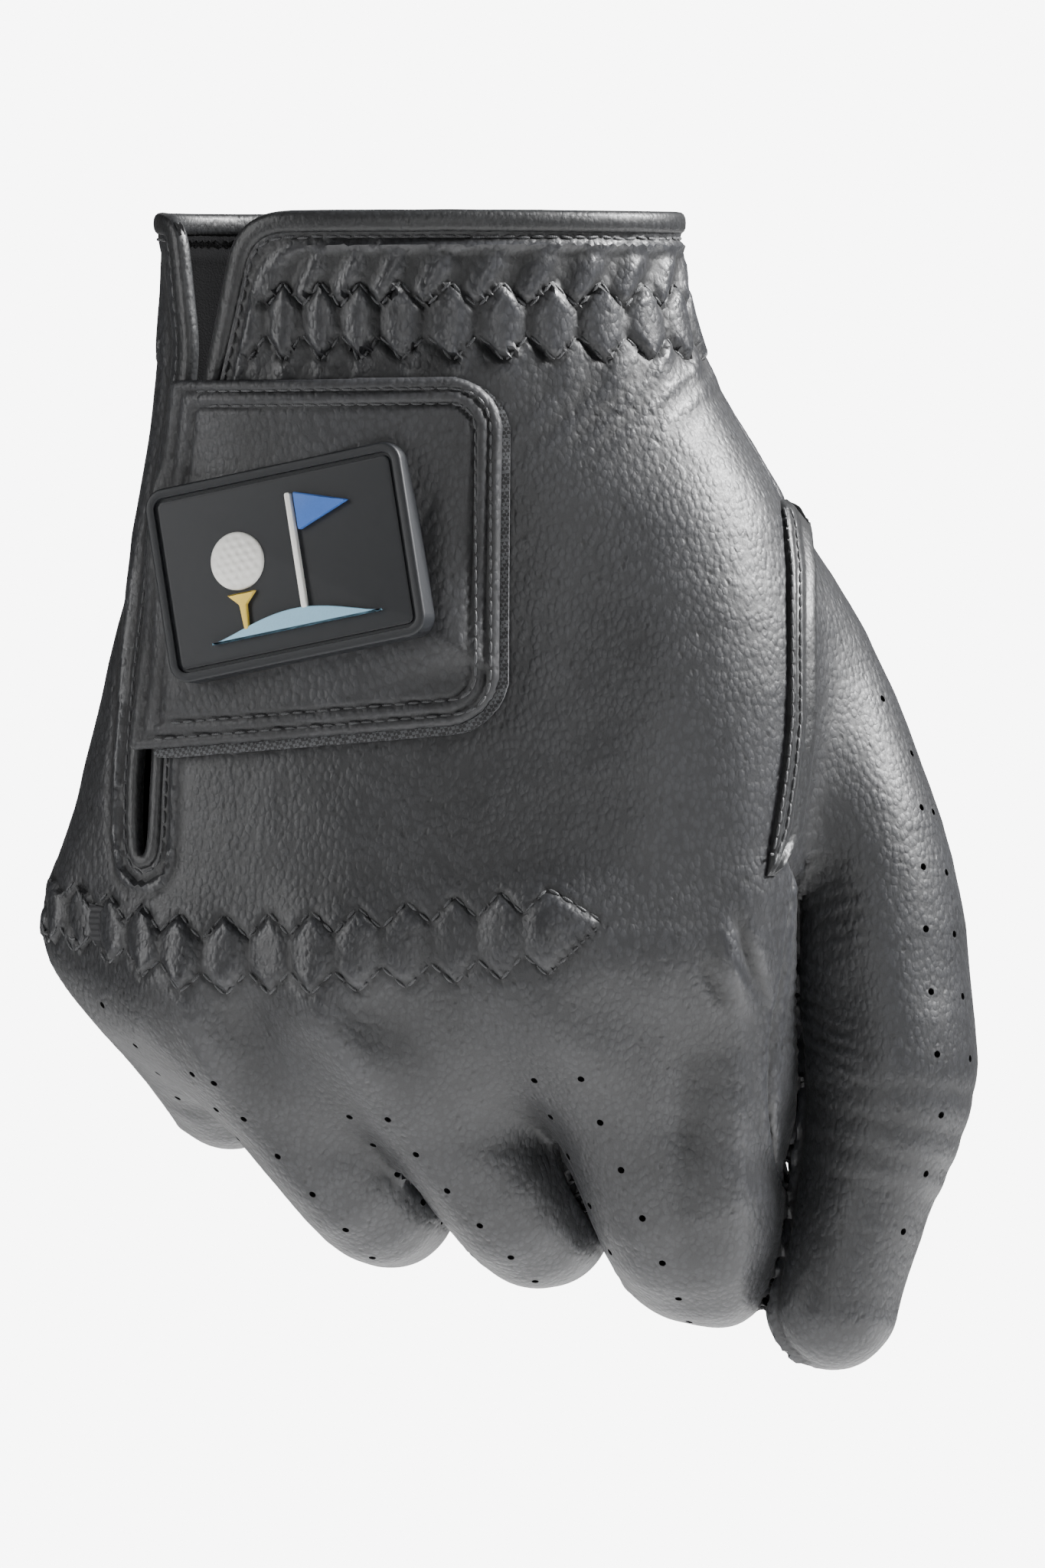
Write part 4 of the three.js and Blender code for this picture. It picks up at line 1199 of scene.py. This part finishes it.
def inset_outline(outline, inset):
    before, after = np.roll(outline, 1, 0), np.roll(outline, -1, 0)
    one, two = unit(outline - before), unit(after - outline)
    normal = unit(np.column_stack([-(one + two)[:, 1], (one + two)[:, 0]]))
    stretch = 1 / np.maximum(0.35, np.sum(normal * np.column_stack([-one[:, 1], one[:, 0]]), 1))
    return outline + normal * (inset * stretch)[:, None]


def softened(outline, reach):
    """Corners of a closed outline cut into short round bends."""
    out = []
    for before, corner, after in zip(np.roll(outline, 1, 0), outline, np.roll(outline, -1, 0)):
        r = min(reach, 0.4 * np.linalg.norm(corner - before), 0.4 * np.linalg.norm(after - corner))
        a, b = corner + unit(before - corner) * r, corner + unit(after - corner) * r
        out += [a * (1 - t) ** 2 + 2 * corner * t * (1 - t) + b * t**2 for t in (0, 0.25, 0.5, 0.75, 1)]
    return np.array(out)


def moulded(outline, top=0.75, reach=0.4):
    outline = softened(np.array(outline, float), reach)
    levels = [(0, -0.4), (0, top - 0.18), (0.05, top - 0.06), (0.16, top)]
    return stacked([inset_outline(outline, d) for d, _ in levels], [h for _, h in levels])


def soft_color(name, color):
    material, tree, shader = new_material(name, color, 0.5, Specular_IOR_Level=0.35)
    cloud = node(tree, "ShaderNodeTexNoise", {"Vector": stretched_coordinates(tree, (900, 900, 900)), "Detail": 3.0})
    tone = node(tree, "ShaderNodeMix", {0: level(tree, cloud.outputs["Fac"], 0.3, 0.7, 0.0, 0.14),
                                        6: (*color, 1), 7: (*(0.6 * c for c in color), 1)}, data_type="RGBA")
    tree.links.new(tone.outputs[2], shader.inputs["Base Color"])
    return material


white = soft_color("white rubber", (0.80, 0.79, 0.75))
blue = soft_color("deep blue rubber", (0.045, 0.13, 0.42))
sky = soft_color("pale blue rubber", (0.33, 0.60, 0.78))
yellow = soft_color("yellow rubber", (0.78, 0.55, 0.10))
badge_piece("emblem_flag_pole", *moulded([(1.6, -6.2), (2.4, -6.2), (2.4, 8.6), (1.6, 8.6)], 0.8), white,
            "emblem_white", "emblem_pole")
badge_piece("emblem_pennant", *moulded([(2.8, 3.6), (10.2, 6.2), (2.8, 8.6)], 0.8), blue, "emblem_blue", "emblem_flag")
badge_piece("emblem_tee_peg", *moulded([(-8.4, -2.7), (-6.9, -4.2), (-6.7, -7.4), (-6.1, -7.4), (-5.9, -4.2),
                                        (-4.4, -2.7)], 0.7, 0.25), yellow, "emblem_yellow", "emblem_tee")
hill = [(x, -8.4 + 2.4 * math.sin(math.pi * np.clip((x + 11.5) / 24, 0, 1)) ** 1.3) for x in np.linspace(12.2, -11.2, 24)]
badge_piece("emblem_fairway", *moulded([(-11.5, -8.45), (12.5, -8.45)] + hill, 0.6, 0.1), sky, "emblem_sky",
            "emblem_green")
BALL = np.array([-6.4, 1.4])
rings_of_ball = np.linspace(3.7, 0.12, 26)
spin = np.linspace(0, 2 * np.pi, 72, endpoint=False)
points, polygons = stacked([BALL + r * np.column_stack([np.cos(spin), np.sin(spin)]) for r in
                            np.concatenate([[3.7], rings_of_ball])], [-0.4] + [0.0] * 26)
r = np.linalg.norm(points[:, :2] - BALL, axis=1)
dome = 0.8 * np.sqrt(np.maximum(0, 1 - (r / 3.75) ** 2)) ** 0.8
dimple_x, dimple_y = np.meshgrid(np.arange(-4, 5) * 1.15, np.arange(-4, 5) * 1.0)
dimple_x = dimple_x + 0.575 * (np.arange(9) % 2)[:, None]
for u, v in zip(dimple_x.ravel(), dimple_y.ravel()):
    if math.hypot(u, v) < 3.2:
        dome -= 0.13 * np.exp(-(((points[:, 0] - BALL[0] - u) ** 2 + (points[:, 1] - BALL[1] - v) ** 2) / 0.11) ** 1.5)
points[72:, 2] = dome[72:]
badge_piece("emblem_golf_ball", points, polygons, white, "emblem_white", "emblem_ball", 60)
print("badge and emblem")

# %% [markdown]
# ## Stitches
# Every seam is sewn with black thread. One node tree sets a small lozenge of thread on each
# stitch place, turned along its seam and away from the leather. The places come as bare
# points that carry both directions, so a stitch never straddles a corner of a zigzag.

# %% The stitch tree
stitches = bpy.data.node_groups.new("stitches", "GeometryNodeTree")
stitches.is_modifier = True
stitches.interface.new_socket("Geometry", in_out="INPUT", socket_type="NodeSocketGeometry")
for name, value in [("Length", 0.0018), ("Thread radius", 0.00022)]:
    stitches.interface.new_socket(name, in_out="INPUT", socket_type="NodeSocketFloat").default_value = value
stitches.interface.new_socket("Thread", in_out="INPUT", socket_type="NodeSocketMaterial")
stitches.interface.new_socket("Geometry", in_out="OUTPUT", socket_type="NodeSocketGeometry")
given = node(stitches, "NodeGroupInput").outputs
lozenge = node(stitches, "GeometryNodeMeshUVSphere", {"Segments": 8, "Rings": 6, "Radius": 1.0})
run_way = node(stitches, "GeometryNodeInputNamedAttribute", {"Name": "run"}, data_type="FLOAT_VECTOR")
out_way = node(stitches, "GeometryNodeInputNamedAttribute", {"Name": "out"}, data_type="FLOAT_VECTOR")
turned = node(stitches, "FunctionNodeAlignRotationToVector", {"Vector": run_way.outputs[0]}, axis="X")
turned = node(stitches, "FunctionNodeAlignRotationToVector", {"Rotation": turned.outputs[0],
                                                             "Vector": out_way.outputs[0]}, axis="Z", pivot_axis="X")
half = node(stitches, "ShaderNodeMath", {0: given["Length"], 1: 0.5}, operation="MULTIPLY")
size = node(stitches, "ShaderNodeCombineXYZ", {"X": half.outputs[0], "Y": given["Thread radius"],
                                               "Z": given["Thread radius"]})
placed = node(stitches, "GeometryNodeInstanceOnPoints", {"Points": given["Geometry"], "Instance": lozenge.outputs[0],
                                                         "Rotation": turned.outputs[0], "Scale": size.outputs[0]})
real = node(stitches, "GeometryNodeRealizeInstances", {"Geometry": placed.outputs[0]})
smooth = node(stitches, "GeometryNodeSetShadeSmooth", {"Geometry": real.outputs[0]})
painted = node(stitches, "GeometryNodeSetMaterial", {"Geometry": smooth.outputs[0], "Material": given["Thread"]})
stitches.links.new(painted.outputs[0], node(stitches, "NodeGroupOutput").inputs[0])


def nearest(tree, points):
    hits = [tree.find_nearest(Vector(p))[:2] for p in points]
    return np.array([h[0] for h in hits]), np.array([h[1] for h in hits])


def along_row(points, ways, pitch):
    """Stitch places, directions along the row and directions outwards, at even steps."""
    lengths = np.concatenate([[0], np.cumsum(np.linalg.norm(np.diff(points, axis=0), axis=1))])
    count = max(1, int(round(lengths[-1] / pitch)))
    at = (np.arange(count) + 0.5) / count * lengths[-1]
    step = 0.3 * lengths[-1] / count
    take = lambda v, s: np.stack([np.interp(s, lengths, v[:, k]) for k in range(3)], 1)
    return take(points, at), unit(take(points, at + step) - take(points, at - step)), unit(take(ways, at))


def sewn(name, rows, length, radius, sink=0.05):
    """One mesh of stitches from rows of places."""
    places, runs, outs = (np.vstack(v) for v in zip(*rows))
    places = places + outs * (radius * 1000 * 0.35 - sink)
    mesh = bpy.data.meshes.new(name)
    mesh.from_pydata(((places + FRAME_SHIFT) * MM).tolist(), [], [])
    for key, value in (("run", runs), ("out", outs)):
        mesh.attributes.new(key, "FLOAT_VECTOR", "POINT").data.foreach_set("vector", value.astype(np.float32).ravel())
    carrier = bpy.data.objects.new(name, mesh)
    scene.collection.objects.link(carrier)
    modifier = carrier.modifiers.new("stitches", "NODES")
    modifier.node_group = stitches
    ids = {socket.name: socket.identifier for socket in stitches.interface.items_tree}
    modifier[ids["Length"]], modifier[ids["Thread radius"]] = length, radius
    modifier[ids["Thread"]] = thread
    evaluated = carrier.evaluated_get(bpy.context.evaluated_depsgraph_get())
    finished = bpy.data.meshes.new_from_object(evaluated)
    bpy.data.objects.remove(carrier)
    finished.name = name
    piece = bpy.data.objects.new(name, finished)
    scene.collection.objects.link(piece)
    print(name, len(places), "stitches")
    return piece


# %% Rows of stitches on the glove
scene = bpy.context.scene


def on_wrist(phase, z):
    """Point of the leather at a phase of the cuff's pleats and a height."""
    arc = np.where(phase > 0, phase * 6.5, phase * 5.1)
    angle = np.interp(arc, ARC, theta)
    x, y, turn, a, b = hand_section(z)
    across, through = a * np.cos(angle), b * np.sin(angle)
    p = np.stack([x + across * np.cos(turn) + through * np.sin(turn),
                  y - across * np.sin(turn) + through * np.cos(turn), z], 1)
    return (*nearest(leather_tree, p), through)


def zigzag_row(locate, first, last, per_leg=2):
    """Stitches of a zigzag whose corners lie at whole and half phases."""
    rows = []
    for k in range(int(math.ceil(first * 2)), int(math.floor(last * 2))):
        found = locate(np.linspace(k / 2, k / 2 + 0.5, 7))
        if found is not None:
            points, ways = found
            length = np.linalg.norm(np.diff(points, axis=0), axis=1).sum()
            rows.append(along_row(points, ways, length / per_leg))
    return rows


def cuff_row(base, sign):
    def locate(phase):
        z = base + sign * ZIGZAG_HEIGHT * zigzag(phase)
        points, ways, through = on_wrist(phase, z)
        if through.max() > 3 or edge_field(points, through).min() < 3.6:
            return None
        return points, ways
    return locate


def knuckle_row(upper):
    def locate(phase):
        x = np.interp((phase + 1.1) * BAND_PITCH, band_arc, band_x)
        _, high, low = band_rows(x)
        points, ways = front_points(leather_tree, x, high if upper else low)
        if hand_place(points)[1].max() > 3:
            return None
        return points, ways
    return locate


hand_rows = zigzag_row(cuff_row(CUFF_ROWS[0], 1), -12, 12) + zigzag_row(cuff_row(CUFF_ROWS[1], -1), -12, 12)
last = band_arc[-1] / BAND_PITCH - 1.2
hand_rows += zigzag_row(knuckle_row(True), 0, last) + zigzag_row(knuckle_row(False), 0, last)
for upper in (True, False):
    points, ways = knuckle_row(upper)(np.linspace(-1.08, 0, 9))
    hand_rows.append(along_row(points, ways, 1.9))
row = edge_points + inwards * (2.95 * edge_size)[:, None]
points, ways = nearest(leather_tree, np.vstack([row, row[:1]]))
hand_rows.append(along_row(points, ways, 1.9))
for offset in (0.7, 1.75):
    z_line = np.linspace(-9.5, 35.5, 120)
    shrink = mix(0.35, 1, ease(-11.5, -4, z_line)) * mix(0.6, 1, ease(37, 33, z_line))
    hand_rows.append(along_row(*front_points(band_tree, thumb_line(z_line) + offset * shrink, z_line), 1.7))
hand_thread = sewn("glove_stitches", hand_rows, 0.0017, 0.00021)
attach(hand_thread, "glove")

# %% Rows of stitches on the tab


def rounded_path(corners, radii, inset):
    """Three sides of the tab's outline, set in by a distance, with its free corners rounded."""
    path = []
    corners = [np.array(c, float) for c in corners]
    for k in (0, 1, 2, 3):
        before, here, after = corners[k - 1], corners[k], corners[(k + 1) % 4]
        one, two = unit(here - before), unit(after - here)
        in_one, in_two = np.array([one[1], -one[0]]), np.array([two[1], -two[0]])
        half_turn = math.acos(np.clip(one @ two, -1, 1)) / 2
        corner = here + inset * (in_one + in_two) / (1 + in_one @ in_two)
        reach = max(radii[k] - inset, 0.3) * math.tan(half_turn)
        a, b = corner - one * reach, corner + two * reach
        path += [a * (1 - t) ** 2 + 2 * corner * t * (1 - t) + b * t**2 for t in np.linspace(0, 1, 9)]
    return np.array(path)


tab_rows = []
for inset in (1.5, 3.4):
    path = rounded_path(TAB, (0.8, 7, 7, 0.8), inset)
    path = resample(np.column_stack([path, np.zeros(len(path))]), 0.5)
    points, ways = front_points(tab_tree, path[:, 0], path[:, 1])
    tab_rows.append(along_row(points, ways, 1.75))
tab_thread = sewn("tab_stitches", tab_rows, 0.0016, 0.0002)
hinge_blend(tab_thread)

# %% [markdown]
# ## Breathing holes and hidden tapes
# Two rows of round holes are punched along the back of each finger and of the thumb. They are cut
# through the leather with small rods, one row on each side of the finger's middle line. Three
# elastic tapes are sewn on the inside, below the zigzag rows, and gather the leather.

# %% Rows of holes
HOLE = 0.46
# pitch along the leather and a line in the front view that each row follows
FINGER_ROWS = [
    (6.9, [(1.8, -37.0), (6.9, -48.8), (15.9, -69.5)]), (6.9, [(7.7, -36.7), (12.7, -48.2), (22.3, -70.0)]),
    (6.3, [(-21.7, -42.0), (-14.3, -51.1), (-2.6, -64.0)]), (6.3, [(-16.8, -42.2), (-9.4, -51.3), (5.0, -66.5)]),
    (6.7, [(-41.8, -36.7), (-38.3, -42.1), (-30.0, -54.0)]), (6.7, [(-39.0, -37.8), (-34.7, -43.1), (-18.5, -61.0)]),
    (7.0, [(-53.4, -28.1), (-49.2, -33.3), (-41.0, -44.5)]),
]
THUMB_ROWS = [
    (8.0, [(51.1, -2.6), (51.6, -18.7), (53.3, -38.0), (53.0, -45.0), (48.6, -57.0)]),
    (8.0, [(46.2, 11.2), (49.6, 5.0), (53.4, -6.0), (55.2, -18.2), (57.2, -33.8), (57.6, -42.0), (55.4, -49.0)]),
]


def holes_along(pitch, corners):
    """Places and outward directions at even steps along a line laid on the leather."""
    line = through_points(np.array([(x, 0, z) for x, z in corners]), 14)
    found = []
    for p in line:
        hit, normal, _, _ = leather_tree.ray_cast(Vector((p[0], -80, p[2])), Vector((0, 1, 0)))
        if hit is not None:
            found.append((*hit, *normal))
    found = np.array(found).reshape(-1, 6)
    lengths = np.concatenate([[0], np.cumsum(np.linalg.norm(np.diff(found[:, :3], axis=0), axis=1))])
    at = np.arange(0, lengths[-1], pitch)
    found = np.stack([np.interp(at, lengths, found[:, k]) for k in range(6)], 1)
    return [(f[:3], unit(f[3:])) for f in found]


def rods(name, places):
    """One mesh of short rods through the leather."""
    mesh = bpy.data.meshes.new(name)
    bm = bmesh.new()
    for place, way in places:
        turn = Vector(way).to_track_quat("Z", "X").to_matrix().to_4x4()
        turn.translation = Vector((place + FRAME_SHIFT) * MM)
        bmesh.ops.create_cone(bm, cap_ends=True, segments=14, radius1=HOLE * MM, radius2=HOLE * MM,
                              depth=3.2 * MM, matrix=turn)
    bm.to_mesh(mesh)
    bm.free()
    made = bpy.data.objects.new(name, mesh)
    scene.collection.objects.link(made)
    return made


def punch(piece, places):
    cutter = rods("rods", places)
    cutter.data.materials.append(flesh_side_painted_shade)
    before = len(piece.data.polygons)
    modifier = piece.modifiers.new("holes", "BOOLEAN")
    modifier.operation, modifier.solver, modifier.object = "DIFFERENCE", "MANIFOLD", cutter
    evaluated = piece.evaluated_get(bpy.context.evaluated_depsgraph_get())
    finished = bpy.data.meshes.new_from_object(evaluated)
    piece.modifiers.remove(modifier)
    if len(finished.polygons) > before:
        piece.data = finished
        piece.data.set_sharp_from_angle(angle=math.radians(50))
    bpy.data.objects.remove(cutter)
    print(piece.name, len(places), "holes", before, "->", len(piece.data.polygons), "faces")


finger_holes = [hole for row in FINGER_ROWS for hole in holes_along(*row)]
punch(pieces["back_leather"], finger_holes)
punch(pieces["thumb_back_leather"], [hole for row in THUMB_ROWS for hole in holes_along(*row)])

# %% Elastic tapes inside
elastic, tree, shader = new_material("woven elastic", (0.016, 0.016, 0.018), 0.75)
ribs = node(tree, "ShaderNodeTexWave", {"Vector": stretched_coordinates(tree, (1, 1, 1)), "Scale": 420.0},
            bands_direction="Z")
rib_bump = node(tree, "ShaderNodeBump", {"Height": ribs.outputs["Fac"], "Strength": 0.7, "Distance": 0.0002})
tree.links.new(rib_bump.outputs[0], shader.inputs["Normal"])


def inner_tape(name, x_count, z_count, places, ways, wanted, replaced):
    """A flat tape just inside the leather."""
    quads = strip_grid(x_count, z_count)
    tape_faces = triangles(quads)
    n = np.cross(places[tape_faces[:, 1]] - places[tape_faces[:, 0]], places[tape_faces[:, 2]] - places[tape_faces[:, 0]])
    if np.sum(n * ways[tape_faces[:, 0]]) < 0:
        tape_faces = tape_faces[:, ::-1]
    tape_faces = tape_faces[wanted[tape_faces].all(1)]
    used, index = np.unique(tape_faces, return_inverse=True)
    places, ways, tape_faces = places[used] - 1.3 * ways[used], ways[used], index.reshape(-1, 3)
    points, polygons, _, _ = sheet_with_thickness(places, ways, tape_faces, 0.6)
    piece = make_piece(name, points, polygons, [elastic])
    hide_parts(replaced)
    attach(piece, "glove")


for name, middle, replaced in (("upper_cuff_tape", 63.5, "cuff_elastic_upper"),
                               ("lower_cuff_tape", 56.0, "cuff_elastic_lower")):
    arc_places, heights = np.linspace(ARC[0] + 4, ARC[-1] - 4, 200), np.linspace(middle - 3, middle + 3, 7)
    arc_grid, z_grid = (v.ravel() for v in np.meshgrid(arc_places, heights, indexing="ij"))
    angle = np.interp(arc_grid, ARC, theta)
    x, y, turn, a, b = hand_section(z_grid)
    across, through = a * np.cos(angle), b * np.sin(angle)
    p = np.stack([x + across * np.cos(turn) + through * np.sin(turn),
                  y - across * np.sin(turn) + through * np.cos(turn), z_grid], 1)
    places, ways = nearest(smooth_tree, p)
    wanted = (edge_field(places, through) > 4.5) & (through < 4)
    inner_tape(name, 200, 7, places, ways, wanted, replaced)
x_grid, share = (v.ravel() for v in np.meshgrid(np.linspace(7, -56, 100), np.linspace(0.1, 0.9, 7), indexing="ij"))
z_grid = mix(band_height(x_grid, False), band_height(x_grid, True), share)
places, ways = front_points(smooth_tree, x_grid, z_grid)
inner_tape("knuckle_tape", 100, 7, places, ways, np.ones(len(places), bool), "knuckle_elastic")
print("tapes")

# %% [markdown]
# ## Camera, light and floor
# The glove is seen level, from the back of the hand, through a long lens. A large soft light
# stands high on the right, a weaker one on the left, and a pale room surrounds it.

# %% Camera and lights
camera_data = bpy.data.cameras.new("camera")
camera_data.lens, camera_data.sensor_width = 400, 36
camera_data.clip_end = 20
camera = bpy.data.objects.new("camera", camera_data)
scene.collection.objects.link(camera)
scene.camera = camera
target = Vector((0.0004, -0.006, 0.0004))
lift = math.radians(1.0)
camera.location = target + 2.23 * Vector((0, -math.cos(lift), math.sin(lift)))
camera.rotation_euler = (target - camera.location).to_track_quat("-Z", "Y").to_euler()


def softbox(name, place, size, power, aim=(0, 0, 0.01), color=(1, 1, 1)):
    data = bpy.data.lights.new(name, "AREA")
    data.shape, data.size, data.size_y = "RECTANGLE", size[0], size[1]
    data.energy, data.color = power, color
    light = bpy.data.objects.new(name, data)
    light.location = place
    light.rotation_euler = (Vector(aim) - Vector(place)).to_track_quat("-Z", "Y").to_euler()
    scene.collection.objects.link(light)


softbox("key softbox", (0.62, -0.10, 0.54), (0.20, 0.20), 40.0, (0.02, 0, 0.03))
softbox("left softbox", (-0.6, -0.22, 0.16), (0.2, 0.6), 3.2)
softbox("front fill", (-0.2, -1.5, 0.0), (0.5, 0.5), 5.5)
world = bpy.data.worlds.new("pale room")
world.use_nodes = True
world.node_tree.nodes["Background"].inputs["Color"].default_value = (0.92, 0.925, 0.93, 1)
world.node_tree.nodes["Background"].inputs["Strength"].default_value = 0.04
scene.world = world


def pale_material(name, color, glow):
    material, tree, shader = new_material(name, color, 0.9)
    shader.inputs["Emission Color"].default_value = (*color, 1)
    shader.inputs["Emission Strength"].default_value = glow
    return material


def room_piece(name, make, material, seen_only):
    mesh = bpy.data.meshes.new(name)
    bm = bmesh.new()
    make(bm)
    bm.to_mesh(mesh)
    bm.free()
    mesh.materials.append(material)
    piece = bpy.data.objects.new(name, mesh)
    scene.collection.objects.link(piece)
    if seen_only:
        piece.visible_diffuse = piece.visible_glossy = piece.visible_shadow = False
        piece.visible_transmission = False
    return piece


room = room_piece("room", lambda bm: bmesh.ops.create_icosphere(bm, subdivisions=4, radius=6.0),
                  pale_material("room wall", (0.92, 0.92, 0.92), 8.5), True)
floor = room_piece("floor", lambda bm: bmesh.ops.create_circle(bm, cap_ends=True, segments=96, radius=0.5),
                   pale_material("floor", (0.91, 0.91, 0.91), 0.0), False)
floor.location.z = -0.2
print("camera at", tuple(round(v, 3) for v in camera.location))
